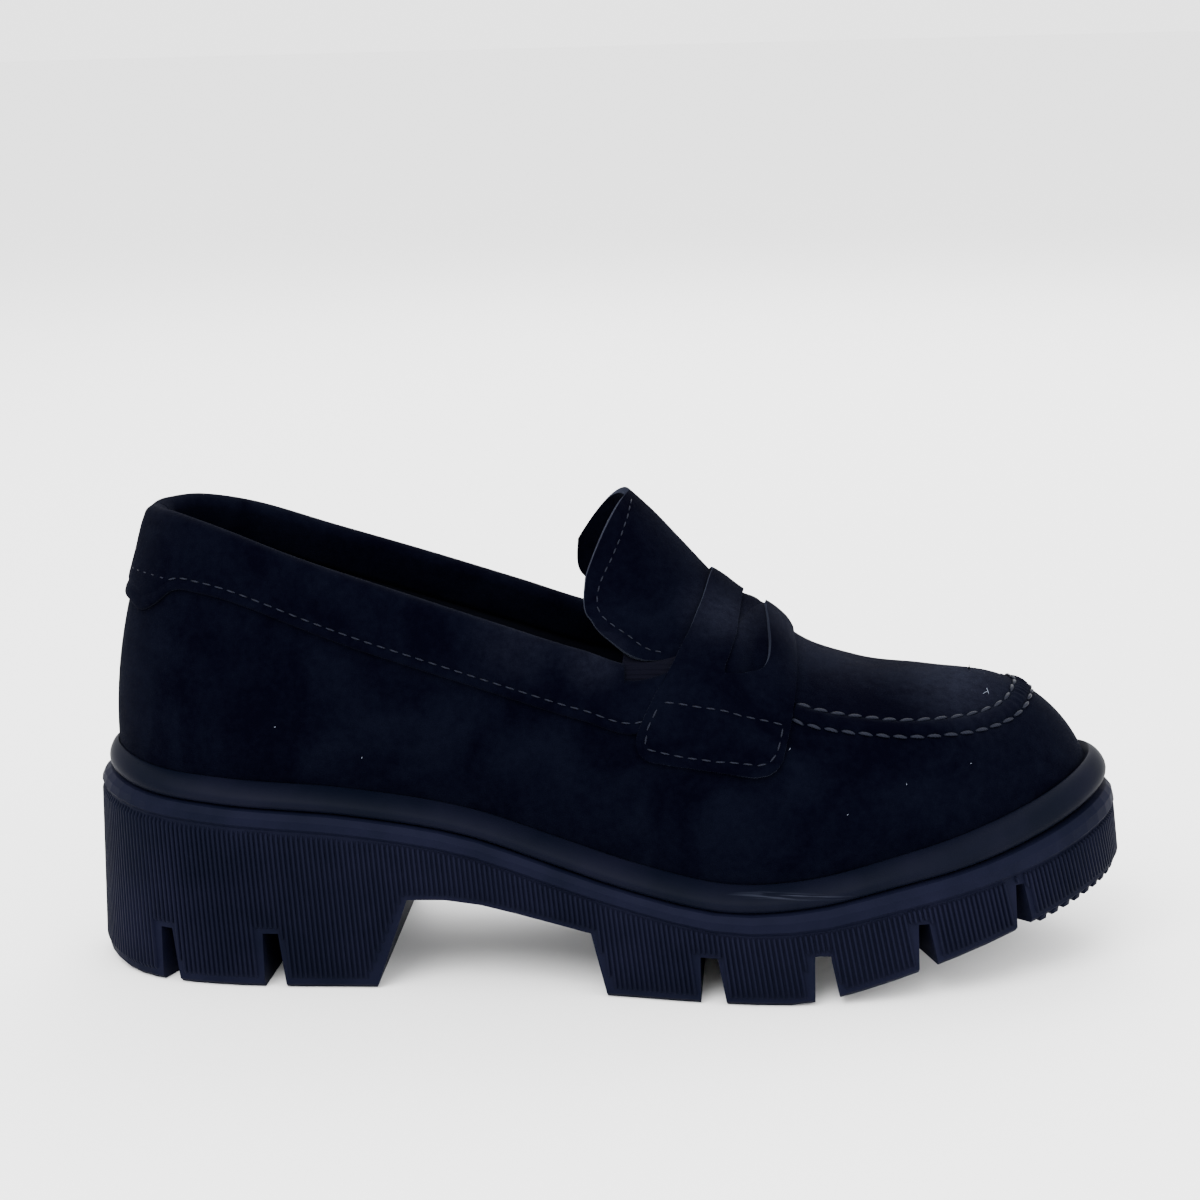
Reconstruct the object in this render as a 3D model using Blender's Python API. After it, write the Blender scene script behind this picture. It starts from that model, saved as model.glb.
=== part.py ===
"""Chunky lug-sole penny loafer for the right foot, standing empty on its sole.

X runs from the heel to the toe, +Y is the medial side, Z is up, and the origin lies
on the ground under the middle of the sole.  All lengths are in metres.

The sole is worked out from one plan outline.  The upper, its tongue, strap, collar
band, elastic gores and toe seam are all patches of one form, which runs from the
foot of the upper to the top line and on over the instep.
"""

import math

import bmesh
import bpy
import numpy as np

# Sole
SOLE_LENGTH = 0.280
BALL_WIDTH = 0.104
HEEL_ROUND = 0.030
TOE_ROUND = 0.032
INWARD_SWING = 0.004
TOE_SPRING = 0.024
TOE_SPRING_START = 0.053
TOE_SPRING_EASE = 0.007
HEEL_BEVEL = 0.0022
HEEL_BEVEL_LENGTH = 0.0168
FEATHER_HEIGHT = 0.0610
RAND_HEIGHT = 0.0063
RAND_WIDTH = 0.0075
LIP_HEIGHT = 0.0053
GROOVE_DEPTH = 0.0026
WALL_TAPER = 0.0009
LIP_OVERHANG = 0.0011
END_TAPER = 0.0030
EDGE_ROUND = 0.0010
SEAT_DEPTH = 0.0016
HEEL_BREAST = -0.0612
HEEL_BREAST_SLANT = 0.0110
FOREPART_REAR = 0.0045
FOREPART_REAR_SLANT = 0.0056
WAIST_HEIGHT = 0.0245
FOREPART_DEPTH = 0.0170

# Upper and what is sewn to it
WALL = 0.0020
GAP = 0.0003
COLLAR_HEIGHT = 0.1265
COLLAR_WIDTH = 0.058
TONGUE_HEIGHT = 0.1272
TONGUE_THICKNESS = 0.0022
TONGUE_CLEARANCE = 0.0010
COLLAR_BAND_WIDTH = 0.0185
COLLAR_BAND_THICKNESS = 0.0016
STRAP_THICKNESS = 0.0018
STRAP_FOOT = 0.30
STRAP_CORNER = 0.05
STRAP_CLEARANCE = 0.0006
GORE_THICKNESS = 0.0010
GORE_HEIGHT = 0.0060
GORE_REAR = 0.522
GORE_FRONT = 0.548
SEAM_WIDTH = 0.0042
SEAM_HEIGHT = 0.0013
INSOLE_THICKNESS = 0.0030
INSOLE_CLEARANCE = 0.0006
INSOLE_BEVEL = 0.0018

# Fineness of the faceted surfaces, and how far a cutter runs past what it cuts
RING_STEPS = 84
WELD_DISTANCE = 0.000002
OVERRUN = 0.006

# Half widths of the sole's outline, as shares of the ball width
PLAN = {
    "station": (0.05, 0.15, 0.27, 0.40, 0.52, 0.64, 0.74, 0.84, 0.93),
    "lateral": (0.260, 0.351, 0.366, 0.380, 0.437, 0.500, 0.500, 0.442, 0.312),
    "medial": (0.260, 0.346, 0.351, 0.351, 0.389, 0.462, 0.484, 0.442, 0.325),
}

# Heights along the sole: the top of the rand as a share of the feather height, the
# rand's width and height and the lip's height as shares of their own, and how far the
# sole leans in toward its top, as a share of the taper at its ends
LEVELS = {
    "station": (0.00, 0.06, 0.14, 0.27, 0.38, 0.46, 0.54, 0.62, 0.70, 0.78, 0.86, 0.93, 1.00),
    "feather": (1.000, 0.955, 0.920, 0.873, 0.785, 0.670, 0.565, 0.502,
                0.523, 0.603, 0.686, 0.775, 0.888),
    "rand": (0.80, 0.85, 0.92, 1.00, 1.00, 1.00, 1.00, 1.00, 1.00, 1.00, 1.00, 1.00, 1.00),
    "rise": (1.00, 1.00, 1.00, 1.00, 1.00, 1.00, 1.00, 1.00, 1.00, 1.03, 1.15, 1.20, 1.20),
    "lip": (1.00, 1.00, 1.00, 1.00, 1.00, 1.00, 0.95, 1.00, 1.15, 1.20, 1.25, 1.35, 1.40),
    "taper": (1.00, 0.50, 0.10, 0.00, 0.00, 0.00, 0.00, 0.00, 0.00, 0.00, 0.12, 0.45, 0.72),
}

# Where the upper ends at the top, by station of its foot.  Along the collar this is
# the top line, and from the throat on it is the ridge over the toes.
# along: share of the sole's length, half: share of the collar's width,
# height: share of the collar's height, lean: degrees of the wall from upright,
# pull: fullness of the wall's curve at its foot and at its top
TOP = {
    "station": (0.00, 0.02, 0.06, 0.13, 0.22, 0.32, 0.42, 0.50,
                0.56, 0.595, 0.625, 0.65, 0.70, 0.78, 0.86, 0.93, 1.00),
    "along": (-0.427, -0.421, -0.396, -0.344, -0.271, -0.179, -0.086, -0.011,
              0.050, 0.096, 0.136, 0.157, 0.189, 0.248, 0.300, 0.336, 0.357),
    "half": (0.000, 0.130, 0.255, 0.372, 0.440, 0.478, 0.495, 0.491,
             0.509, 0.448, 0.259, 0.0, 0.0, 0.0, 0.0, 0.0, 0.0),
    "height": (0.990, 0.993, 0.990, 0.960, 0.902, 0.835, 0.766, 0.711,
               0.680, 0.703, 0.740, 0.749, 0.689, 0.627, 0.611, 0.606, 0.602),
    "foot_lean": (-2, -2, -3, -5, -6, -6, -5, -4, -4, -4, -4, -4, -5, -5, -2, 7, 20),
    "top_lean": (24, 22, 18, 13, 9, 8, 12, 22, 38, 60, 80, 90, 90, 90, 90, 88, 84),
    "foot_pull": (1.0, 1.0, 1.0, 1.0, 1.0, 1.0, 1.0, 1.0,
                  1.05, 1.1, 1.15, 1.15, 1.1, 1.1, 1.1, 1.1, 1.08),
    "top_pull": (1.0, 1.0, 1.0, 1.0, 1.0, 1.0, 1.0, 1.0,
                 1.0, 0.9, 0.9, 1.0, 1.1, 1.1, 1.12, 1.1, 1.08),
}

# Middle line of the tongue down to the throat
# rise: share of the way from the throat up to the tongue's top
CROWN = {
    "station": (0.45, 0.485, 0.52, 0.56, 0.595, 0.625, 0.65),
    "along": (0.005, 0.0286, 0.0536, 0.0839, 0.116, 0.141, 0.157),
    "rise": (1.219, 1.034, 0.833, 0.547, 0.246, 0.076, 0.000),
}

# Lower edge of the tongue's flank above the top line, as a share of the way to the crown
TONGUE_EDGE = {
    "station": (0.491, 0.495, 0.508, 0.529, 0.555, 0.58, 0.64),
    "share": (0.34, 0.25, 0.18, 0.11, 0.05, 0.03, 0.03),
}
TONGUE_MEDIAL_REACH = 0.020

# Rear and front edge of the strap from its foot (0) to the crown (1)
STRAP = {
    "share": (0.00, 0.13, 0.27, 0.43, 0.61, 0.83, 1.00),
    "rear": (0.552, 0.556, 0.569, 0.580, 0.587, 0.592, 0.586),
    "front": (0.678, 0.681, 0.685, 0.694, 0.699, 0.701, 0.697),
}

# Rear and front edge of the strap's slot, by share of the way up the form
SLOT = {
    "share": (0.578, 0.590, 0.620, 0.680, 0.750, 0.850, 1.000),
    "rear": (0.631, 0.621, 0.619, 0.623, 0.627, 0.626, 0.622),
    "front": (0.635, 0.645, 0.655, 0.662, 0.665, 0.659, 0.652),
}

# Height of the raised toe seam on the form, from the strap to the middle of the toe
SEAM = {
    "station": (0.705, 0.76, 0.83, 0.87, 0.90, 0.93, 0.96, 0.985, 1.00),
    "share": (0.555, 0.550, 0.530, 0.523, 0.525, 0.540, 0.580, 0.625, 0.648),
}

# Depth of the collar band's lower edge below the top line, as a share of the band's
# width, with the wavy tab that it widens into at the heel
BAND = {
    "station": (0.00, 0.018, 0.035, 0.056, 0.068, 0.08, 0.10, 0.30, 0.56),
    "depth": (1.36, 1.40, 1.48, 1.30, 1.12, 1.04, 1.00, 1.00, 1.00),
}

# Ceiling of the arched waist, from the forepart (0) to the heel (1)
# rise: share of the way from the forepart's depth to the waist's full height
WAIST = {
    "along": (0.000, 0.589, 0.792, 1.000),
    "rise": (0.000, 0.833, 1.000, 1.000),
}

# Grooves of the tread: station, width at the top and at the ground, height, and reach
# inward from the outline
GROOVES = {
    "station": (0.083, 0.188, 0.607, 0.712, 0.806, 0.898),
    "top_width": (0.0035, 0.0042, 0.0045, 0.0040, 0.0028, 0.0026),
    "ground_width": (0.0055, 0.0060, 0.0068, 0.0066, 0.0055, 0.0052),
    "height": (0.0150, 0.0150, 0.0125, 0.0125, 0.0125, 0.0120),
    "reach": (0.014, 0.020, 0.130, 0.130, 0.022, 0.020),
}

# Linear colours and roughness
FINISH = {
    "navy_rubber": ((0.0105, 0.0125, 0.0180), 0.62),
    "navy_suede": ((0.0095, 0.0098, 0.0135), 0.95),
    "dark_lining": ((0.0100, 0.0100, 0.0120), 0.55),
    "black_elastic": ((0.0080, 0.0080, 0.0095), 0.85),
}


def curve(knots, values, at):
    """Smooth curve through a table's column, with one slope at each knot."""
    knots = np.asarray(knots, float)
    values = np.asarray(values, float)
    slopes = np.gradient(values, knots)
    at = np.clip(np.asarray(at, float), knots[0], knots[-1])
    cell = np.clip(np.searchsorted(knots, at) - 1, 0, len(knots) - 2)
    width = knots[cell + 1] - knots[cell]
    t = (at - knots[cell]) / width
    return hermite(values[cell], slopes[cell] * width, values[cell + 1], slopes[cell + 1] * width, t)


def hermite(start, leave, end, arrive, t):
    """Cubic from start to end with the given tangents."""
    h00 = 2 * t**3 - 3 * t**2 + 1
    h10 = t**3 - 2 * t**2 + t
    h01 = 3 * t**2 - 2 * t**3
    h11 = t**3 - t**2
    return h00 * start + h10 * leave + h01 * end + h11 * arrive


def turn_of(station):
    """Share of a half turn around the outline at which a station of the length lies."""
    return np.arccos(1 - 2 * np.asarray(station, float)) / math.pi


def station_of(turn):
    return (1 - np.cos(np.pi * np.asarray(turn, float))) / 2


THROAT_TURN = float(turn_of(0.65))


def column(table, name, turn):
    """A table's column read at a share of the half turn from heel to toe."""
    return curve(turn_of(table["station"]), table[name], turn)


def outline(theta):
    """Sole outline: 0 is the back of the heel, a quarter turn lateral, a half turn the toe."""
    theta = (np.asarray(theta, float) + np.pi) % (2 * np.pi) - np.pi
    knots = turn_of(PLAN["station"]) * np.pi
    heel_end = math.sqrt(HEEL_ROUND * SOLE_LENGTH / 2)
    toe_end = math.sqrt(TOE_ROUND * SOLE_LENGTH / 2)
    full = {}
    for side in ("lateral", "medial"):
        inner = np.asarray(PLAN[side]) * BALL_WIDTH / np.sin(knots)
        values = np.concatenate([[heel_end], inner, [toe_end]])
        full[side] = curve(np.concatenate([[0.0], knots, [np.pi]]), values, np.abs(theta))
    station = (1 - np.cos(theta)) / 2
    half = np.where(theta >= 0, full["lateral"], full["medial"]) * np.sin(theta)
    x = (station - 0.5) * SOLE_LENGTH
    y = INWARD_SWING * station**2 - half
    return np.stack([x, y], -1)


def outline_centre():
    """Distance from the last's middle line to the middle of the outline's box."""
    across = outline(np.linspace(-np.pi, np.pi, 721))[:, 1]
    return (across.min() + across.max()) / 2


def plan(theta):
    """The outline, centred on the frame."""
    return outline(theta) - np.array([0.0, outline_centre()])


def middle_line(x):
    """Middle of the last, which swings inward toward the toe."""
    return INWARD_SWING * (x / SOLE_LENGTH + 0.5) ** 2 - outline_centre()


def inward(theta):
    """Unit normal of the outline, pointing into the sole."""
    step = 0.001
    along = plan(theta + step) - plan(theta - step)
    along /= np.linalg.norm(along, axis=-1, keepdims=True)
    return np.stack([-along[..., 1], along[..., 0]], -1)


def level(name, x):
    """Column of the level table at a place along the sole."""
    return curve(LEVELS["station"], LEVELS[name], np.asarray(x) / SOLE_LENGTH + 0.5)


def feather_height(x):
    return FEATHER_HEIGHT * level("feather", x)


def rand_width(x):
    return RAND_WIDTH * level("rand", x)


def rand_height(x):
    return RAND_HEIGHT * level("rise", x)


def groove_height(x):
    return feather_height(x) - rand_height(x)


def taper(x):
    return END_TAPER * level("taper", x)


def tread_height(x):
    rear = np.clip(HEEL_BEVEL_LENGTH - SOLE_LENGTH / 2 - x, 0, None) / HEEL_BEVEL_LENGTH
    past = np.clip(x - TOE_SPRING_START, 0, None)
    reach = SOLE_LENGTH / 2 - TOE_SPRING_START
    eased = past**2 / (past + TOE_SPRING_EASE) * (reach + TOE_SPRING_EASE) / reach**2
    return TOE_SPRING * eased + HEEL_BEVEL * rear**2


def ring(inset, height):
    """Closed ring of points, set in from the outline, at a height that follows x."""
    theta = np.arange(RING_STEPS) * 2 * np.pi / RING_STEPS
    flat = plan(theta)
    depth = inset(flat[:, 0])[:, None] if callable(inset) else inset
    flat = flat + inward(theta) * depth
    return np.column_stack([flat, height(flat[:, 0])])


def material(name):
    """Principled material from the table of finishes."""
    found = bpy.data.materials.get(name)
    if found:
        return found
    made = bpy.data.materials.new(name)
    made.use_nodes = True
    colour, roughness = FINISH[name]
    shader = made.node_tree.nodes["Principled BSDF"]
    shader.inputs["Base Color"].default_value = (*colour, 1.0)
    shader.inputs["Roughness"].default_value = roughness
    shader.inputs["Metallic"].default_value = 0.0
    return made


def add_body(name, points, faces, finish):
    """Object from points and faces, with its faces turned outward."""
    mesh = bpy.data.meshes.new(name)
    mesh.from_pydata([tuple(p) for p in points], [], [tuple(f) for f in faces])
    bm = bmesh.new()
    bm.from_mesh(mesh)
    bmesh.ops.recalc_face_normals(bm, faces=bm.faces)
    bm.to_mesh(mesh)
    bm.free()
    mesh.shade_smooth()
    mesh.set_sharp_from_angle(angle=math.radians(35))
    mesh.materials.append(material(finish))
    body = bpy.data.objects.new(name, mesh)
    bpy.context.scene.collection.objects.link(body)
    return body


def stack(name, rings, finish):
    """Closed body through a stack of rings, its two ends closed by strips across."""
    count = len(rings[0])
    faces = []
    for low in range(len(rings) - 1):
        for k in range(count):
            a = low * count + k
            b = low * count + (k + 1) % count
            faces.append((a, b, b + count, a + count))
    for base in (0, (len(rings) - 1) * count):
        for k in range(count // 2):
            strip = (k, k + 1, count - k - 1, (count - k) % count)
            faces.append([base + c for c in dict.fromkeys(strip)])
    return add_body(name, np.vstack(rings), faces, finish)


def prism(name, outline, low, high, axis):
    """Cutter: an outline in the two other axes, drawn along the given axis."""
    points = []
    for end in (low, high):
        for first, second in outline:
            flat = [first, second]
            flat.insert(axis, end)
            points.append(flat)
    count = len(outline)
    faces = [tuple(range(count)), tuple(range(count, 2 * count))]
    for k in range(count):
        nxt = (k + 1) % count
        faces.append((k, nxt, nxt + count, k + count))
    return as_cutter(add_body(name, points, faces, "navy_rubber"))


def as_cutter(body):
    body.hide_render = True
    body.display_type = "WIRE"
    return body


def cut(body, cutter):
    modifier = body.modifiers.new(cutter.name, "BOOLEAN")
    modifier.operation = "DIFFERENCE"
    modifier.solver = "EXACT"
    modifier.object = cutter


def groove_cutter(index, side):
    """Tapered wedge for one groove, its heelward side upright, entering from one side."""
    row = {name: GROOVES[name][index] for name in GROOVES}
    theta = -side * math.pi * float(turn_of(row["station"]))
    mouth = plan(theta)
    into = inward(theta)
    if row["reach"] > BALL_WIDTH / 2:
        into = np.array([0.0, -float(side)])
    toward_toe = np.array([into[1], -into[0]]) * (1 if into[1] > 0 else -1)
    ground = float(tread_height(mouth[0]))
    points = []
    for z, width in ((-OVERRUN, row["ground_width"]), (ground, row["ground_width"]),
                     (ground + row["height"], row["top_width"])):
        for depth in (-OVERRUN, row["reach"]):
            for along in (-row["top_width"] / 2, width - row["top_width"] / 2):
                flat = mouth + into * depth + toward_toe * along
                points.append((*flat, z))
    faces = [(0, 1, 3, 2), (8, 9, 11, 10)]
    for low in (0, 4):
        for a, b in ((0, 1), (1, 3), (3, 2), (2, 0)):
            faces.append((low + a, low + b, low + 4 + b, low + 4 + a))
    label = "lateral" if side < 0 else "medial"
    return as_cutter(add_body(f"groove_cutter_{label}_{index}", points, faces, "navy_rubber"))


def build_outsole():
    """Lug unit: tread, upright wall, and the lip around its top under the groove."""
    def lip(x, rise):
        return groove_height(x) - LIP_HEIGHT * level("lip", x) * (1 - rise)

    def upright(depth, lean, rise):
        return ring(lambda x: depth + lean * taper(x), lambda x: lip(x, rise))

    rings = [
        ring(EDGE_ROUND, tread_height),
        ring(0.0, lambda x: tread_height(x) + EDGE_ROUND),
        upright(WALL_TAPER, 0.25, 0.0),
        upright(WALL_TAPER - LIP_OVERHANG, 0.35, 0.2),
        upright(WALL_TAPER - LIP_OVERHANG, 0.65, 0.6),
        upright(WALL_TAPER, 0.85, 0.9),
        upright(GROOVE_DEPTH, 1.0, 1.0),
    ]
    outsole = stack("outsole", rings, "navy_rubber")
    front = FOREPART_REAR - FOREPART_REAR_SLANT
    rear = HEEL_BREAST + HEEL_BREAST_SLANT
    waist = [(HEEL_BREAST, -OVERRUN), (FOREPART_REAR, -OVERRUN)]
    for along, rise in zip(WAIST["along"], WAIST["rise"]):
        ceiling = FOREPART_DEPTH + (WAIST_HEIGHT - FOREPART_DEPTH) * rise
        waist.append((front + (rear - front) * along, ceiling))
    cut(outsole, prism("waist_cutter", waist, -BALL_WIDTH, BALL_WIDTH, 1))
    for index, reach in enumerate(GROOVES["reach"]):
        cut(outsole, groove_cutter(index, -1))
        if reach < BALL_WIDTH / 2:
            cut(outsole, groove_cutter(index, 1))
    return outsole


def build_midsole():
    """Rounded rubber rand on the outsole, with a shallow seat for the foot of the upper."""
    def seat(x):
        return feather_height(x) - SEAT_DEPTH

    def share(part, rise):
        def inset(x):
            return rand_width(x) * part + taper(x) * (1 - part)

        return ring(inset, lambda x: groove_height(x) + rand_height(x) * rise)

    rings = [
        ring(lambda x: GROOVE_DEPTH + GAP + taper(x), lambda x: groove_height(x) + GAP),
        share(0.16, 0.16),
        share(0.15, 0.32),
        share(0.32, 0.56),
        share(0.60, 0.80),
        share(0.88, 0.95),
        share(1.00, 1.00),
        ring(rand_width, seat),
    ]
    return stack("midsole", rings, "navy_rubber")


def foot(turn, side):
    """Foot of the upper at a share of the half turn, and the way into the shoe there."""
    theta = -side * np.pi * np.asarray(turn, float)
    flat = plan(theta)
    into = inward(theta)
    flat = flat + into * (rand_width(flat[..., 0]) + GAP)[..., None]
    height = feather_height(flat[..., 0]) - SEAT_DEPTH + GAP
    return np.concatenate([flat, height[..., None]], -1), into


def top_line(turn, side):
    """Top end of the upper's wall: the collar's edge, or the ridge in front of the throat."""
    x = column(TOP, "along", turn) * SOLE_LENGTH
    half = np.maximum(column(TOP, "half", turn), 0) * COLLAR_WIDTH
    half = np.where(np.asarray(turn) >= THROAT_TURN, 0.0, half)
    z = column(TOP, "height", turn) * COLLAR_HEIGHT
    return np.stack([x, middle_line(x) + side * half, z], -1)


def crown_line(turn):
    """Middle line over the instep, which is the ridge from the throat on."""
    turn = np.asarray(turn, float)
    low = top_line(THROAT_TURN, 0)[2]
    x = column(CROWN, "along", turn) * SOLE_LENGTH
    z = low + (TONGUE_HEIGHT - low) * column(CROWN, "rise", turn)
    ahead = top_line(turn, 0)
    return np.where((turn >= THROAT_TURN)[..., None], ahead, np.stack([x, middle_line(x), z], -1))


def slanted(into, lean, size):
    """Tangent that leans from upright into the shoe by an angle in degrees."""
    lean = np.radians(lean)
    flat = into * (np.sin(lean) * size)[..., None]
    return np.concatenate([flat, (np.cos(lean) * size)[..., None]], -1)


def wall(turn, side, rise):
    """Point on the upper's wall: rise runs from its foot (0) to the top line (1)."""
    base, into = foot(turn, side)
    top = top_line(turn, side)
    span = np.linalg.norm(top - base, axis=-1)
    leave = slanted(into, column(TOP, "foot_lean", turn), column(TOP, "foot_pull", turn) * span)
    arrive = slanted(into, column(TOP, "top_lean", turn), column(TOP, "top_pull", turn) * span)
    return hermite(base, leave, top, arrive, rise[..., None])


def instep(turn, side, over):
    """Point on the instep: over runs from the top line (0) to the crown (1)."""
    start = top_line(turn, side)
    end = crown_line(turn)
    _, into = foot(turn, side)
    span = np.linalg.norm(end - start, axis=-1)
    leave = slanted(into, column(TOP, "top_lean", turn), span)
    arrive = slanted(into, 90.0 + 0 * span, span)
    return hermite(start, leave, end, arrive, over[..., None])


def wall_share(turn, side):
    """Share of the way from the foot to the crown that the wall takes, and that way's length."""
    base, _ = foot(turn, side)
    top = top_line(turn, side)
    low = np.linalg.norm(top - base, axis=-1)
    high = np.linalg.norm(crown_line(turn) - top, axis=-1)
    return low / (low + high), low + high


def form(turn, side, share):
    """Point on the whole form: share runs from the foot (0) over the wall to the crown (1)."""
    split, _ = wall_share(turn, side)
    rise = np.clip(share / split, 0, 1)
    rest = np.maximum(1 - split, 0.000001)
    over = np.clip((share - split) / rest, 0, 1)
    return np.where((share <= split)[..., None], wall(turn, side, rise), instep(turn, side, over))


def grid_faces(rows, columns, offset=0, flip=False):
    faces = []
    for i in range(rows - 1):
        for j in range(columns - 1):
            a = offset + i * columns + j
            quad = (a, a + 1, a + columns + 1, a + columns)
            faces.append(quad[::-1] if flip else quad)
    return faces


def weld(points, faces):
    """Join the points that coincide, such as those along the back seam and the ridge."""
    keys = np.round(points / WELD_DISTANCE).astype(int)
    _, first, index = np.unique(keys, axis=0, return_index=True, return_inverse=True)
    index = index.ravel()
    joined = []
    for face in faces:
        corners = list(dict.fromkeys(int(index[c]) for c in face))
        if len(corners) > 2:
            joined.append(corners)
    return first, joined


def point_normals(points, faces):
    normals = np.zeros_like(points)
    for face in faces:
        corners = points[face]
        if len(face) == 4:
            normal = np.cross(corners[2] - corners[0], corners[3] - corners[1])
        else:
            normal = np.cross(corners[1] - corners[0], corners[2] - corners[0])
        normals[face] += normal
    return normals / np.linalg.norm(normals, axis=1, keepdims=True)


def thicken(name, points, faces, inner, outer, finish, level_foot=None):
    """Closed slab between two offsets of an open surface whose faces look outward."""
    first, faces = weld(points, faces)
    outer = np.broadcast_to(outer, len(points))[first]
    points = points[first]
    normals = point_normals(points, faces)
    if level_foot is not None:
        at_foot = level_foot[first]
        normals[at_foot, 2] = 0
        normals /= np.linalg.norm(normals, axis=1, keepdims=True)
    count = len(points)
    both = np.vstack([points + normals * outer[:, None], points + normals * inner])
    closed = [list(f) for f in faces] + [[c + count for c in reversed(f)] for f in faces]
    edges = {}
    for face in faces:
        for a, b in zip(face, face[1:] + face[:1]):
            edges[(a, b)] = True
    for a, b in edges:
        if (b, a) not in edges:
            closed.append([b, a, a + count, b + count])
    return add_body(name, both, closed, finish)


def upper_turns():
    """Lines up the wall, closer together at the throat."""
    rear = np.linspace(0, turn_of(0.56), 26)
    throat = np.linspace(turn_of(0.56), THROAT_TURN, 13)[1:]
    front = np.linspace(THROAT_TURN, 1, 16)[1:]
    return np.concatenate([rear, throat, front])


def build_upper():
    """Hollow upper: one wall from the seat to the top line, closed over the toes."""
    turns = upper_turns()
    rises = np.linspace(0, 1, 11)
    turn, rise = np.meshgrid(turns, rises, indexing="ij")
    points = []
    faces = []
    for side in (-1, 1):
        faces += grid_faces(len(turns), len(rises), sum(len(p) for p in points), flip=side < 0)
        points.append(wall(turn, side, rise).reshape(-1, 3))
    at_foot = np.tile((rise == 0).ravel(), 2)
    return thicken("upper", np.vstack(points), faces, -WALL, 0.0, "navy_suede", at_foot)


def both_sides(lateral, medial):
    """Grid over the form from its lateral edge over the crown to its medial edge.

    Each side is a pair of grids, the turn and the share, with one row for each step
    along the shoe and one column for each step from the edge up to the crown.
    """
    near = form(lateral[0], -1, lateral[1])
    far = form(medial[0], 1, medial[1])
    return np.concatenate([near, far[:, -2::-1]], axis=1)


def build_tongue():
    """Tongue that stands up from the throat, with its flanks just above the top line."""
    stations = np.array([0.491, 0.497, 0.505, 0.515, 0.53, 0.55, 0.57, 0.59, 0.605, 0.62, 0.63])
    across = np.linspace(0, 1, 9)
    sides = []
    for side, reach in ((-1, 0.0), (1, TONGUE_MEDIAL_REACH)):
        fade = (stations[-1] - stations) / (stations[-1] - stations[0])
        shifted = stations[:, None] - reach * fade[:, None] * (1 - across)
        turn = turn_of(shifted)
        edge = curve(TONGUE_EDGE["station"], TONGUE_EDGE["share"], stations)
        split, length = wall_share(turn[:, 0], side)
        low = split + (1 - split) * edge + TONGUE_CLEARANCE / length
        share = low[:, None] + (1 - low[:, None]) * across
        sides.append((turn, share))
    points = both_sides(*sides)
    faces = grid_faces(*points.shape[:2], flip=True)
    return thicken("tongue", points.reshape(-1, 3), faces, -TONGUE_THICKNESS, 0.0, "navy_suede")


def build_strap():
    """Saddle strap over the instep, with the slot across its middle."""
    along = np.linspace(0, 1, 9)[:, None]
    across = np.linspace(0, 1, 17)
    low = STRAP_FOOT + STRAP_CORNER * np.abs(2 * along - 1) ** 5
    share = low + (1 - low) * across
    rear = turn_of(curve(STRAP["share"], STRAP["rear"], across))
    front = turn_of(curve(STRAP["share"], STRAP["front"], across))
    turn = rear + (front - rear) * along
    points = both_sides((turn, share), (turn, share))
    faces = grid_faces(*points.shape[:2], flip=True)
    over = STRAP_CLEARANCE + STRAP_THICKNESS
    strap = thicken("strap", points.reshape(-1, 3), faces, STRAP_CLEARANCE, over, "navy_suede")
    shares = np.array([0.578, 0.59, 0.62, 0.66, 0.72, 0.80, 0.90, 1.0])
    along = np.linspace(0, 1, 4)[:, None]
    rear = turn_of(curve(SLOT["share"], SLOT["rear"], shares))
    front = turn_of(curve(SLOT["share"], SLOT["front"], shares))
    turn = rear + (front - rear) * along
    share = shares + 0 * along
    points = both_sides((turn, share), (turn, share))
    faces = grid_faces(*points.shape[:2], flip=True)
    cutter = thicken("slot_cutter", points.reshape(-1, 3), faces, -over, 2 * over, "navy_suede")
    cut(strap, as_cutter(cutter))
    return strap


def gore_drop(stations):
    """How far the collar band's top edge has dropped where it makes room for the gore."""
    return GORE_HEIGHT * np.clip((stations - GORE_REAR) / (GORE_FRONT - GORE_REAR), 0, 1)


def rise_at_depth(turn, side, depth):
    """Rise up the wall at a depth below the top line."""
    base, _ = foot(turn, side)
    span = np.linalg.norm(top_line(turn, side) - base, axis=-1)
    return 1 - depth / span


def wrapped(stations, low_depth, high_depth):
    """Grid of the form around the heel, from the lateral front end to the medial one."""
    rows = []
    for side, order in ((-1, slice(None, None, -1)), (1, slice(1, None))):
        turn = turn_of(stations[order])
        columns = []
        for part in np.linspace(0, 1, 4):
            depth = low_depth[order] * (1 - part) + high_depth[order] * part
            columns.append(wall(turn, side, rise_at_depth(turn, side, depth)))
        rows.append(np.stack(columns, axis=1))
    return np.concatenate(rows, axis=0)


def build_collar_band():
    """Padded band around the top line, which widens into a tab at the heel."""
    fine = station_of(np.linspace(0, turn_of(0.08), 13))
    rest = np.linspace(0.08, GORE_REAR, 17)[1:]
    front = np.linspace(GORE_REAR, GORE_FRONT, 4)[1:]
    stations = np.concatenate([fine, rest, front])
    low = COLLAR_BAND_WIDTH * curve(BAND["station"], BAND["depth"], stations)
    points = wrapped(stations, low, gore_drop(stations))
    faces = grid_faces(*points.shape[:2])
    outer = GAP + COLLAR_BAND_THICKNESS
    return thicken("collar_band", points.reshape(-1, 3), faces, GAP, outer, "navy_suede")


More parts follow.
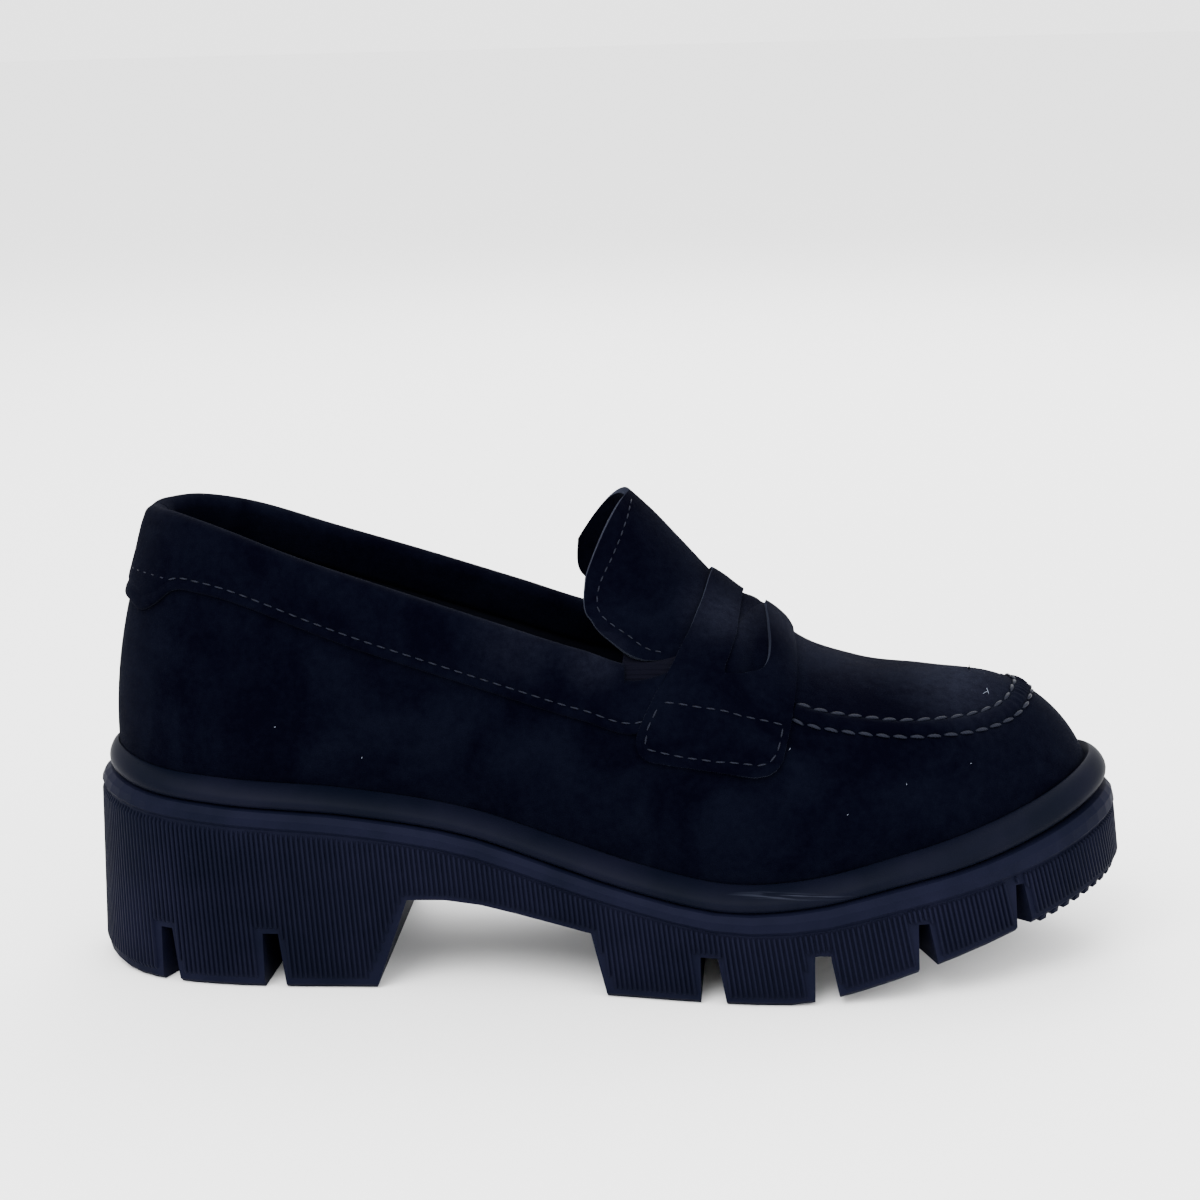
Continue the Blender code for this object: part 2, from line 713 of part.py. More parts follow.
def build_gore(side):
    """Elastic wedge between the collar band's front end and the tongue."""
    stations = np.linspace(0.7 * GORE_REAR + 0.3 * GORE_FRONT, GORE_FRONT, 4)
    turn = turn_of(stations)
    drop = gore_drop(stations) - 2 * GAP
    rows = []
    for part in (0.0, 0.5, 1.0):
        rise = rise_at_depth(turn, side, drop * (1 - part))
        rows.append(wall(turn, side, rise))
    points = np.stack(rows, axis=1)
    faces = grid_faces(*points.shape[:2], flip=side < 0)
    label = "lateral" if side < 0 else "medial"
    outer = GAP + GORE_THICKNESS
    return thicken(f"gore_{label}", points.reshape(-1, 3), faces, GAP, outer, "black_elastic")


def wall_normal(turn, side, rise):
    """Outward normal of the upper's wall."""
    step = 0.002
    here = wall(turn, side, rise)
    along = here - wall(turn - step, side, rise)
    up = wall(turn, side, rise + step) - here
    normal = -side * np.cross(along, up)
    return normal / np.linalg.norm(normal, axis=-1, keepdims=True)


def build_toe_seam():
    """Raised seam that joins the toe's top piece to the wall, from strap to strap."""
    turns = np.linspace(turn_of(SEAM["station"][0]), 1, 19)
    rises = column(SEAM, "share", turns)
    lateral = wall(turns, -1, rises)
    medial = wall(turns, 1, rises)[-2::-1]
    path = np.concatenate([lateral, medial])
    normals = np.concatenate([wall_normal(turns, -1, rises), wall_normal(turns, 1, rises)[-2::-1]])
    along = np.gradient(path, axis=0)
    across = np.cross(normals, along)
    across /= np.linalg.norm(across, axis=1, keepdims=True)
    shares = np.array([-0.5, -0.28, 0.0, 0.28, 0.5])
    heights = np.array([0.25, 0.85, 1.0, 0.85, 0.25]) * SEAM_HEIGHT
    points = path[:, None] + across[:, None] * (shares * SEAM_WIDTH)[:, None]
    faces = grid_faces(*points.shape[:2], flip=True)
    outer = np.tile(GAP + heights, len(points))
    return thicken("toe_seam", points.reshape(-1, 3), faces, GAP, outer, "navy_suede")


def build_insole():
    """Insole on the midsole's seat, inside the foot of the upper."""
    def edge(extra):
        return lambda x: rand_width(x) + GAP + WALL + INSOLE_CLEARANCE + extra

    def height(rise):
        return lambda x: feather_height(x) - SEAT_DEPTH + GAP + rise

    rings = [
        ring(edge(0.0), height(0.0)),
        ring(edge(0.4 * INSOLE_BEVEL), height(0.6 * INSOLE_THICKNESS)),
        ring(edge(INSOLE_BEVEL), height(INSOLE_THICKNESS)),
    ]
    return stack("insole", rings, "dark_lining")


def main():
    for old in list(bpy.data.objects):
        bpy.data.objects.remove(old, do_unlink=True)
    build_outsole()
    build_midsole()
    build_insole()
    build_upper()
    build_tongue()
    build_strap()
    build_collar_band()
    build_gore(-1)
    build_gore(1)
    build_toe_seam()


main()
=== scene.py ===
"""Chunky lug-sole penny loafer for the right foot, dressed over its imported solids."""
import math

import bpy
import numpy as np
from mathutils import Matrix, Vector


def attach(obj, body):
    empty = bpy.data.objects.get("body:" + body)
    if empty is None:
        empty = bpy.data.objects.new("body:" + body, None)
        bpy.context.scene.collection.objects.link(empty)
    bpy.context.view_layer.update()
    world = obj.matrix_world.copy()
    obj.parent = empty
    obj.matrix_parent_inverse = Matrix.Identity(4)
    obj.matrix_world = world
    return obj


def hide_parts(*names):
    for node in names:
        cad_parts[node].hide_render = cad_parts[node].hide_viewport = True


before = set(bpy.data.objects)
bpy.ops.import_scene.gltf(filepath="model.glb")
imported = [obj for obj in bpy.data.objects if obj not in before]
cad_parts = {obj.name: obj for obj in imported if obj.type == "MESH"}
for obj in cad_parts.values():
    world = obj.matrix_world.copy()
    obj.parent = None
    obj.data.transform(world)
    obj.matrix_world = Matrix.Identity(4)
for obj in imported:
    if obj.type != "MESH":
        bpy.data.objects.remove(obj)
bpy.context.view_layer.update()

# Lug sole.  One moulded rubber unit with heel and arched waist.  Its side is combed
# with fine upright ribs that stop short of the tread, the notches and the heel breast.
# The solid stays and is given its rubber, and the ribs are laid on its wall.
SOLE_LENGTH = 0.280
BALL_WIDTH = 0.104
HEEL_ROUND = 0.030
TOE_ROUND = 0.032
INWARD_SWING = 0.004
TOE_SPRING = 0.024
TOE_SPRING_START = 0.053
TOE_SPRING_EASE = 0.007
HEEL_BEVEL = 0.0022
HEEL_BEVEL_LENGTH = 0.0168
FEATHER_HEIGHT = 0.0610
RAND_HEIGHT = 0.0063
RAND_WIDTH = 0.0075
LIP_HEIGHT = 0.0053
WALL_TAPER = 0.0009
END_TAPER = 0.0030
EDGE_ROUND = 0.0010
HEEL_BREAST = -0.0612
HEEL_BREAST_SLANT = 0.0110
FOREPART_REAR = 0.0045
FOREPART_REAR_SLANT = 0.0056
WAIST_HEIGHT = 0.0245
FOREPART_DEPTH = 0.0170
RIB_PITCH = 0.00135
RIB_PROUD = 0.0008
RIB_SUNK = 0.0004
RIB_BORDER = 0.0010
RIB_TOP_GAP = 0.0002
RIB_LEAST_HEIGHT = 0.0015
RIB_SECTION = (-0.30, -0.20, 0.20, 0.30)
RIB_LEVELS = (0.0, 0.04, 0.35, 0.68, 0.96, 1.0)
RIB_LEAN = {"station": (0.0, 0.3, 0.6, 0.8, 1.0), "degrees": (3, 4, 8, 11, 13)}

# Half widths of the outline, as shares of the ball width
PLAN = {
    "station": (0.05, 0.15, 0.27, 0.40, 0.52, 0.64, 0.74, 0.84, 0.93),
    "lateral": (0.260, 0.351, 0.366, 0.380, 0.437, 0.500, 0.500, 0.442, 0.312),
    "medial": (0.260, 0.346, 0.351, 0.351, 0.389, 0.462, 0.484, 0.442, 0.325),
}

# Heights along the sole, each as a share of its own size
LEVELS = {
    "station": (0.00, 0.06, 0.14, 0.27, 0.38, 0.46, 0.54, 0.62, 0.70, 0.78, 0.86, 0.93, 1.00),
    "feather": (1.000, 0.955, 0.920, 0.873, 0.785, 0.670, 0.565, 0.502,
                0.523, 0.603, 0.686, 0.775, 0.888),
    "rand": (0.80, 0.85, 0.92, 1.00, 1.00, 1.00, 1.00, 1.00, 1.00, 1.00, 1.00, 1.00, 1.00),
    "rise": (1.00, 1.00, 1.00, 1.00, 1.00, 1.00, 1.00, 1.00, 1.00, 1.03, 1.15, 1.20, 1.20),
    "lip": (1.00, 1.00, 1.00, 1.00, 1.00, 1.00, 0.95, 1.00, 1.15, 1.20, 1.25, 1.35, 1.40),
    "taper": (1.00, 0.50, 0.10, 0.00, 0.00, 0.00, 0.00, 0.00, 0.00, 0.00, 0.12, 0.45, 0.72),
}
WAIST = {"along": (0.000, 0.589, 0.792, 1.000), "rise": (0.000, 0.833, 1.000, 1.000)}
NOTCHES = {
    "station": (0.083, 0.188, 0.607, 0.712, 0.806, 0.898),
    "top_width": (0.0035, 0.0042, 0.0045, 0.0040, 0.0028, 0.0026),
    "ground_width": (0.0055, 0.0060, 0.0068, 0.0066, 0.0055, 0.0052),
    "height": (0.0150, 0.0150, 0.0125, 0.0125, 0.0125, 0.0120),
}


def hermite(start, leave, end, arrive, t):
    """Cubic from start to end with the given tangents."""
    h00 = 2 * t**3 - 3 * t**2 + 1
    h10 = t**3 - 2 * t**2 + t
    h01 = 3 * t**2 - 2 * t**3
    h11 = t**3 - t**2
    return h00 * start + h10 * leave + h01 * end + h11 * arrive


def curve(knots, values, at):
    """Smooth curve through a table's column, with one slope at each knot."""
    knots = np.asarray(knots, float)
    values = np.asarray(values, float)
    slopes = np.gradient(values, knots)
    at = np.clip(np.asarray(at, float), knots[0], knots[-1])
    cell = np.clip(np.searchsorted(knots, at) - 1, 0, len(knots) - 2)
    width = knots[cell + 1] - knots[cell]
    t = (at - knots[cell]) / width
    return hermite(values[cell], slopes[cell] * width,
                   values[cell + 1], slopes[cell + 1] * width, t)


def turn_of(station):
    """Share of a half turn round the outline at which a station of the length lies."""
    return np.arccos(1 - 2 * np.asarray(station, float)) / math.pi


def station_of(turn):
    """Station of the length at a share of a half turn."""
    return (1 - np.cos(np.pi * np.asarray(turn, float))) / 2


def column(table, name, turn):
    """A table's column at a turn."""
    return curve(turn_of(table["station"]), table[name], turn)


def outline(theta):
    """Sole outline: 0 is the back of the heel, a quarter turn lateral, a half turn the toe."""
    theta = (np.asarray(theta, float) + np.pi) % (2 * np.pi) - np.pi
    knots = turn_of(PLAN["station"]) * np.pi
    ends = [math.sqrt(HEEL_ROUND * SOLE_LENGTH / 2), math.sqrt(TOE_ROUND * SOLE_LENGTH / 2)]
    full = {}
    for side in ("lateral", "medial"):
        inner = np.asarray(PLAN[side]) * BALL_WIDTH / np.sin(knots)
        values = np.concatenate([ends[:1], inner, ends[1:]])
        full[side] = curve(np.concatenate([[0.0], knots, [np.pi]]), values, np.abs(theta))
    station = (1 - np.cos(theta)) / 2
    half = np.where(theta >= 0, full["lateral"], full["medial"]) * np.sin(theta)
    return np.stack([(station - 0.5) * SOLE_LENGTH, INWARD_SWING * station**2 - half], -1)


widest = outline(np.linspace(-np.pi, np.pi, 721))[:, 1]
OUTLINE_CENTRE = (widest.min() + widest.max()) / 2


def plan(theta):
    return outline(theta) - np.array([0.0, OUTLINE_CENTRE])


def middle_line(x):
    """Middle of the last, which swings inward toward the toe."""
    return INWARD_SWING * (x / SOLE_LENGTH + 0.5) ** 2 - OUTLINE_CENTRE


def unit(vectors):
    """The same directions, at length one."""
    return vectors / np.linalg.norm(vectors, axis=-1, keepdims=True)


def inward(theta):
    """Unit normal of the outline, pointing into the sole."""
    step = 0.001
    along = unit(plan(theta + step) - plan(theta - step))
    return np.stack([-along[..., 1], along[..., 0]], -1)


def level(name, x):
    return curve(LEVELS["station"], LEVELS[name], np.asarray(x) / SOLE_LENGTH + 0.5)


def feather_height(x):
    return FEATHER_HEIGHT * level("feather", x)


def rand_width(x):
    return RAND_WIDTH * level("rand", x)


def groove_height(x):
    return feather_height(x) - RAND_HEIGHT * level("rise", x)


def tread_height(x):
    rear = np.clip(HEEL_BEVEL_LENGTH - SOLE_LENGTH / 2 - x, 0, None) / HEEL_BEVEL_LENGTH
    past = np.clip(x - TOE_SPRING_START, 0, None)
    reach = SOLE_LENGTH / 2 - TOE_SPRING_START
    eased = past**2 / (past + TOE_SPRING_EASE) * (reach + TOE_SPRING_EASE) / reach**2
    return TOE_SPRING * eased + HEEL_BEVEL * rear**2


def lip_foot(x):
    return groove_height(x) - LIP_HEIGHT * level("lip", x)


def on_wall(theta, z, out):
    """Point on the sole's wall at a height, and so far out from it."""
    flat = plan(theta)
    x = flat[..., 0]
    low = tread_height(x) + EDGE_ROUND
    share = np.clip((z - low) / (lip_foot(x) - low), 0, 1)
    inset = share * (WALL_TAPER + 0.25 * END_TAPER * level("taper", x))
    flat = flat + inward(theta) * (inset - out)[..., None]
    return np.concatenate([flat, z[..., None]], -1)


def arc_table(side):
    """Turns round one side and the distance run along the outline from the heel."""
    theta = np.linspace(0, np.pi, 2001) * (-side)
    run = np.linalg.norm(np.diff(plan(theta), axis=0), axis=1)
    return theta, np.concatenate([[0], np.cumsum(run)])


def rib_foot(theta, arc, notch_arcs):
    """Height at which a rib stops above the tread, a notch or the waist."""
    x = plan(theta)[..., 0]
    ground = tread_height(x)
    foot = ground + EDGE_ROUND + RIB_BORDER
    front = FOREPART_REAR - FOREPART_REAR_SLANT + RIB_BORDER
    rear = HEEL_BREAST + HEEL_BREAST_SLANT - RIB_BORDER
    ceiling = FOREPART_DEPTH + (WAIST_HEIGHT - FOREPART_DEPTH) * np.array(WAIST["rise"][::-1])
    xs = front + (rear - front) * np.array(WAIST["along"][::-1])
    xs = np.concatenate([[HEEL_BREAST - RIB_BORDER], xs, [FOREPART_REAR + RIB_BORDER]])
    zs = np.concatenate([[0], ceiling + RIB_BORDER, [0]])
    foot = np.maximum(foot, np.interp(x, xs, zs, left=0, right=0))
    for k, middle in enumerate(notch_arcs):
        top = NOTCHES["top_width"][k]
        heelward = middle - top / 2 - RIB_BORDER
        toeward = middle + top / 2 + RIB_BORDER
        end = toeward + NOTCHES["ground_width"][k] - top
        peak = NOTCHES["height"][k] + RIB_BORDER
        rise = np.interp(arc, [heelward - 0.0001, heelward, toeward, end], [0, peak, peak, 0],
                         left=0, right=0)
        foot = np.maximum(foot, ground + rise)
    return foot


def grid_faces(rows, columns, offset=0, flip=False):
    """Quads between the points of a grid that starts at an offset."""
    faces = []
    for i in range(rows - 1):
        for j in range(columns - 1):
            a = offset + i * columns + j
            quad = (a, a + 1, a + columns + 1, a + columns)
            faces.append(quad[::-1] if flip else quad)
    return faces


def make_object(name, points, faces, materials, face_slots=None):
    """Mesh object from points and faces, ready to ride."""
    mesh = bpy.data.meshes.new(name)
    mesh.from_pydata([tuple(p) for p in points], [], [tuple(int(c) for c in f) for f in faces])
    for finish in materials:
        mesh.materials.append(finish)
    if face_slots is not None:
        mesh.polygons.foreach_set("material_index", np.asarray(face_slots, np.int32))
    mesh.shade_smooth()
    mesh.validate()
    piece = bpy.data.objects.new(name, mesh)
    bpy.context.scene.collection.objects.link(piece)
    return piece


def srgb(text):
    """Linear colour from an sRGB hex value."""
    parts = [int(text[k:k + 2], 16) / 255 for k in (0, 2, 4)]
    linear = [p / 12.92 if p <= 0.04045 else ((p + 0.055) / 1.055) ** 2.4 for p in parts]
    return (*linear, 1.0)


def add_node(tree, kind, settings, links=None):
    """Node with its settings, each a property or an input, and its inputs' links."""
    node = tree.nodes.new(kind)
    for name, value in settings.items():
        if isinstance(name, int) or name in node.inputs:
            node.inputs[name].default_value = value
        else:
            setattr(node, name, value)
    for name, source in (links or {}).items():
        tree.links.new(source, node.inputs[name])
    return node


def start_material(name, settings):
    """Material with its shader set, and the place on the object in metres."""
    made = bpy.data.materials.new(name)
    made.use_nodes = True
    tree = made.node_tree
    shader = tree.nodes["Principled BSDF"]
    for key, value in settings.items():
        shader.inputs[key].default_value = value
    place = add_node(tree, "ShaderNodeTexCoord", {}).outputs["Object"]
    return made, tree, shader, place


def grain(tree, shader, place, pitch, detail, strength, depth, roughness=0.5):
    """Fine grain over a surface, its pitch and depth in metres."""
    pattern = add_node(tree, "ShaderNodeTexNoise", {"Scale": 1 / pitch, "Detail": detail,
                       "Roughness": roughness}, {"Vector": place})
    raised = add_node(tree, "ShaderNodeBump", {"Strength": strength, "Distance": depth},
                      {"Height": pattern.outputs["Fac"]})
    tree.links.new(raised.outputs["Normal"], shader.inputs["Normal"])


def dusty_colour(tree, place, pitch, roughness, full, dark, light):
    """Rubber's own colour, and where dust lies on it in patches a paler one."""
    bloom = add_node(tree, "ShaderNodeTexNoise", {"Scale": 1 / pitch, "Detail": 4.0,
                     "Roughness": roughness}, {"Vector": place})
    tone = add_node(tree, "ShaderNodeMapRange", {"From Min": 0.35, "From Max": full},
                    {"Value": bloom.outputs["Fac"]})
    shade = add_node(tree, "ShaderNodeMix", {"data_type": "RGBA", 6: srgb(dark), 7: srgb(light)},
                     {0: tone.outputs["Result"]})
    return shade.outputs[2]


# Moulded rubber: an open-faced mould leaves it matt with a faint pebble and a bloom of
# dust in random patches, so its blue is greyer than the suede's.
rubber, tree, shader, place = start_material("moulded_rubber", {
    "Roughness": 0.6, "IOR": 1.45, "Specular IOR Level": 0.025})
colour = dusty_colour(tree, place, 0.030, 0.6, 0.68, "060814", "0c0d1b")
tree.links.new(colour, shader.inputs["Base Color"])
grain(tree, shader, place, 0.0008, 3.0, 0.35, 0.00012)

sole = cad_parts["outsole"]
sole.data.materials.clear()
sole.data.materials.append(rubber)

points = []
faces = []
for side in (-1, 1):
    theta_table, arc_run = arc_table(side)
    notch_arcs = np.interp(turn_of(NOTCHES["station"]) * np.pi, np.abs(theta_table), arc_run)
    count = int(arc_run[-1] / RIB_PITCH)
    middles = (np.arange(count) + 0.5) * arc_run[-1] / count
    theta = np.interp(middles, arc_run, theta_table)
    x = plan(theta)[:, 0]
    top = lip_foot(x) - RIB_TOP_GAP
    degrees = curve(RIB_LEAN["station"], RIB_LEAN["degrees"], x / SOLE_LENGTH + 0.5)
    lean = np.tan(np.radians(degrees))
    foot = tread_height(x) + EDGE_ROUND + RIB_BORDER
    # A leaning rib's foot moves along the wall, so it is found in three rounds
    for _ in range(3):
        low_arc = np.clip(middles + (top - foot) * lean, 0, arc_run[-1])
        foot = rib_foot(np.interp(low_arc, arc_run, theta_table), low_arc, notch_arcs)
    keep = top - foot > RIB_LEAST_HEIGHT
    middles, top, foot, lean = middles[keep], top[keep], foot[keep], lean[keep]
    rise = np.array(RIB_LEVELS)
    proud = np.full(len(rise), RIB_PROUD)
    proud[[0, -1]] = -RIB_SUNK
    section = np.array(RIB_SECTION) * RIB_PITCH
    z = foot[:, None] + (top - foot)[:, None] * rise
    arc = middles[:, None, None] + ((top[:, None] - z) * lean[:, None])[..., None] + section
    out = np.where(np.abs(section) < 0.25 * RIB_PITCH, proud[:, None], -RIB_SUNK)
    theta = np.interp(arc, arc_run, theta_table)
    grid = on_wall(theta, np.broadcast_to(z[..., None], arc.shape), np.broadcast_to(out, arc.shape))
    base = sum(len(p) for p in points)
    levels, wide = len(rise), len(section)
    for k in range(len(middles)):
        faces += grid_faces(levels, wide, base + k * levels * wide, flip=side > 0)
    points.append(grid.reshape(-1, 3))
ribs = make_object("sole_side_ribs", np.vstack(points), faces, [rubber])
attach(ribs, "root")

# Tread teeth.  The edge of the tread is cut into short teeth round the toe, where the
# spring lifts it off the ground.  They are of one piece with the sole.
TOOTH_PITCH = 0.0042
TOOTH_DROP = 0.0009
TOOTH_SPAN = (0.20, 0.70)
TEETH_START = 0.915

# Each corner's depth into the sole and its height off the tread
TOOTH_SECTION = ((0.0001, 0.0015), (0.0006, -TOOTH_DROP), (0.006, -TOOTH_DROP), (0.007, 0.0015))
points = []
faces = []
for side in (-1, 1):
    theta_table, arc_run = arc_table(side)
    start = np.interp(turn_of(TEETH_START) * np.pi, np.abs(theta_table), arc_run)
    count = int((arc_run[-1] - start) / TOOTH_PITCH)
    for k in range(count):
        base = sum(len(p) for p in points)
        corners = []
        for along in TOOTH_SPAN:
            theta = np.interp(start + (k + along) * TOOTH_PITCH, arc_run, theta_table)
            flat, into = plan(theta), inward(theta)
            ground = float(tread_height(flat[0]))
            for depth, z in TOOTH_SECTION:
                corners.append((*(flat + into * depth), ground + z))
        points.append(np.array(corners))
        around = [(a, b, b + 4, a + 4) for a, b in ((0, 1), (1, 2), (2, 3), (3, 0))]
        for corner in around + [(3, 2, 1, 0), (4, 5, 6, 7)]:
            quad = tuple(base + c for c in corner)
            faces.append(quad if side < 0 else quad[::-1])
teeth = make_object("tread_teeth", np.vstack(points), faces, [rubber])
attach(teeth, "root")

# Rand.  A rounded rubber bead, moulded apart and cemented round the foot of the upper
# above a dark groove.  It replaces its plain solid with the same bead in finer steps.
RAND_STEPS = 420
RAND_SEAT = 0.0016
RAND_ROUND = {
    "inset": (0.34, 0.20, 0.14, 0.13, 0.17, 0.26, 0.38, 0.52, 0.67, 0.82, 0.93, 1.00),
    "rise": (0.04, 0.09, 0.20, 0.33, 0.46, 0.59, 0.71, 0.82, 0.90, 0.96, 0.99, 1.00),
}


def ring_faces(rings, around, offset=0):
    """Quads between neighbouring rings of so many points each."""
    faces = []
    for i in range(rings - 1):
        for j in range(around):
            a = offset + i * around + j
            b = offset + i * around + (j + 1) % around
            faces.append((a, b, b + around, a + around))
    return faces


theta = np.arange(RAND_STEPS) * 2 * np.pi / RAND_STEPS
outer_line = plan(theta)
into = inward(theta)
x = outer_line[:, 0]
end_taper = END_TAPER * level("taper", x)
rings = []
for inset, rise in zip(RAND_ROUND["inset"], RAND_ROUND["rise"]):
    depth = rand_width(x) * inset + end_taper * (1 - inset)
    z = groove_height(x) + (feather_height(x) - groove_height(x)) * rise
    rings.append(np.column_stack([outer_line + into * depth[:, None], z]))
inner_line = outer_line + into * rand_width(x)[:, None]
rings.append(np.column_stack([inner_line, feather_height(x) - RAND_SEAT]))
faces = ring_faces(len(rings), RAND_STEPS)
for base in (0, (len(rings) - 1) * RAND_STEPS):
    for k in range(RAND_STEPS // 2):
        strip = (k, k + 1, RAND_STEPS - k - 1, (RAND_STEPS - k) % RAND_STEPS)
        strip = [base + c for c in dict.fromkeys(strip)]
        faces.append(strip[::-1] if base == 0 else strip)

# Smooth rubber: the bead's mould was polished, so it is a little shinier than the wall
# and shows a thin pale scuff along its crest at the ball of the foot.
SCUFF_STATION = 0.685
SCUFF_REACH = 0.018
SCUFF_FLATNESS = 20
SCUFF_DROP = 0.36
bead_rubber, tree, shader, place = start_material("smooth_moulded_rubber", {
    "Roughness": 0.5, "IOR": 1.45, "Specular IOR Level": 0.025})
colour = dusty_colour(tree, place, 0.022, 0.5, 0.7, "04060f", "090a15")
stretched = add_node(tree, "ShaderNodeMapping", {"Scale": (60, 60, 2600)}, {"Vector": place})
scratches = add_node(tree, "ShaderNodeTexNoise", {"Scale": 1.0, "Detail": 5.0},
                     {"Vector": stretched.outputs["Vector"]})
scuff_mask = add_node(tree, "ShaderNodeMapRange", {"From Min": 0.48, "From Max": 0.60,
                      "To Max": 0.9}, {"Value": scratches.outputs["Fac"]})
scuff_flat = plan(np.pi * turn_of(SCUFF_STATION))
scuff_height = float(feather_height(scuff_flat[0])) - RAND_HEIGHT * SCUFF_DROP
scuff_spot = (*scuff_flat, SCUFF_FLATNESS * scuff_height)
flattened = add_node(tree, "ShaderNodeMapping", {"Scale": (1, 1, SCUFF_FLATNESS)},
                     {"Vector": place})
away = add_node(tree, "ShaderNodeVectorMath", {"operation": "DISTANCE", 1: scuff_spot},
                {0: flattened.outputs["Vector"]})
near = add_node(tree, "ShaderNodeMapRange", {"From Min": SCUFF_REACH, "From Max": 0.0},
                {"Value": away.outputs["Value"]})
scuff = add_node(tree, "ShaderNodeMath", {"operation": "MULTIPLY"},
                 {0: scuff_mask.outputs["Result"], 1: near.outputs["Result"]})
scuffed = add_node(tree, "ShaderNodeMix", {"data_type": "RGBA", 7: srgb("2a2d38")},
                   {0: scuff.outputs[0], 6: colour})
tree.links.new(scuffed.outputs[2], shader.inputs["Base Color"])
grain(tree, shader, place, 0.0006, 3.0, 0.25, 0.0001)
rand = make_object("rand", np.vstack(rings), faces, [bead_rubber])
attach(rand, "root")
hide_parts("midsole")

# Upper.  Suede over a thin lining, lasted over the foot's shape and closed by a raised
# seam round the toe.  Its surface is one form, from the foot of the wall over the top
# line to the instep, and soft troughs and ridges lie in it where the shoe bends.
COLLAR_HEIGHT = 0.1265
COLLAR_WIDTH = 0.058
TONGUE_HEIGHT = 0.1272
WALL = 0.0020
GAP = 0.0003
SEAT_DEPTH = 0.0016
TOP = {
    "station": (0.00, 0.02, 0.06, 0.13, 0.22, 0.32, 0.42, 0.50,
                0.56, 0.595, 0.625, 0.65, 0.70, 0.78, 0.86, 0.93, 1.00),
    "along": (-0.427, -0.421, -0.396, -0.344, -0.271, -0.179, -0.086, -0.011,
              0.050, 0.096, 0.136, 0.157, 0.189, 0.248, 0.300, 0.336, 0.357),
    "half": (0.000, 0.130, 0.255, 0.372, 0.440, 0.478, 0.495, 0.491,
             0.509, 0.448, 0.259, 0.0, 0.0, 0.0, 0.0, 0.0, 0.0),
    "height": (0.990, 0.993, 0.990, 0.960, 0.902, 0.835, 0.766, 0.711,
               0.680, 0.703, 0.740, 0.749, 0.689, 0.627, 0.611, 0.606, 0.602),
    "foot_lean": (-2, -2, -3, -5, -6, -6, -5, -4, -4, -4, -4, -4, -5, -5, -2, 7, 20),
    "top_lean": (24, 22, 18, 13, 9, 8, 12, 22, 38, 60, 80, 90, 90, 90, 90, 88, 84),
    "foot_pull": (1.0, 1.0, 1.0, 1.0, 1.0, 1.0, 1.0, 1.0,
                  1.05, 1.1, 1.15, 1.15, 1.1, 1.1, 1.1, 1.1, 1.08),
    "top_pull": (1.0, 1.0, 1.0, 1.0, 1.0, 1.0, 1.0, 1.0,
                 1.0, 0.9, 0.9, 1.0, 1.1, 1.1, 1.12, 1.1, 1.08),
}
CROWN = {
    "station": (0.45, 0.485, 0.52, 0.56, 0.595, 0.625, 0.65),
    "along": (0.005, 0.0286, 0.0536, 0.0839, 0.116, 0.141, 0.157),
    "rise": (1.219, 1.034, 0.833, 0.547, 0.246, 0.076, 0.000),
}
THROAT_TURN = float(turn_of(0.65))
SLOT_SWELL = {"station": 0.638, "along": 0.019, "across": 0.16, "height": 0.0013}

# Soft troughs (depth above 0) and ridges (below 0) of the bent suede
CREASES = {
    "station": (0.385, 0.415, 0.46, 0.30, 0.735, 0.76, 0.72, 0.22, 0.67, 0.81),
    "share": (0.16, 0.13, 0.24, 0.20, 0.34, 0.26, 0.86, 0.18, 0.20, 0.80),
    "along": (0.012, 0.014, 0.060, 0.070, 0.022, 0.026, 0.030, 0.030, 0.050, 0.050),
    "across": (0.130, 0.120, 0.080, 0.120, 0.120, 0.100, 0.200, 0.160, 0.080, 0.120),
    "depth": (0.0005, -0.0004, 0.0006, -0.0005, 0.0004, -0.0003, 0.0005, 0.0004, 0.0004, -0.0004),
}


def foot_line(turn, side):
    """Foot of the upper, and the way into the shoe there."""
    theta = -side * np.pi * np.asarray(turn, float)
    flat = plan(theta)
    into = inward(theta)
    flat = flat + into * (rand_width(flat[..., 0]) + GAP)[..., None]
    z = feather_height(flat[..., 0]) - SEAT_DEPTH + GAP
    return np.concatenate([flat, z[..., None]], -1), into


def top_line(turn, side):
    """The collar's edge, or the ridge over the toes in front of the throat."""
    x = column(TOP, "along", turn) * SOLE_LENGTH
    half = np.maximum(column(TOP, "half", turn), 0) * COLLAR_WIDTH
    half = np.where(np.asarray(turn) >= THROAT_TURN, 0.0, half)
    z = column(TOP, "height", turn) * COLLAR_HEIGHT
    return np.stack([x, middle_line(x) + side * half, z], -1)


def crown_line(turn):
    """Middle line over the instep, which is the ridge from the throat on."""
    turn = np.asarray(turn, float)
    low = top_line(THROAT_TURN, 0)[2]
    x = column(CROWN, "along", turn) * SOLE_LENGTH
    z = low + (TONGUE_HEIGHT - low) * column(CROWN, "rise", turn)
    ahead = top_line(turn, 0)
    return np.where((turn >= THROAT_TURN)[..., None], ahead, np.stack([x, middle_line(x), z], -1))


def slanted(into, lean, size):
    lean = np.radians(lean)
    flat = into * (np.sin(lean) * size)[..., None]
    return np.concatenate([flat, (np.cos(lean) * size)[..., None]], -1)


def wall(turn, side, rise):
    """Point on the upper's wall, from its foot (0) to the top line (1)."""
    base, into = foot_line(turn, side)
    top = top_line(turn, side)
    span = np.linalg.norm(top - base, axis=-1)
    leave = slanted(into, column(TOP, "foot_lean", turn), column(TOP, "foot_pull", turn) * span)
    arrive = slanted(into, column(TOP, "top_lean", turn), column(TOP, "top_pull", turn) * span)
    return hermite(base, leave, top, arrive, rise[..., None])


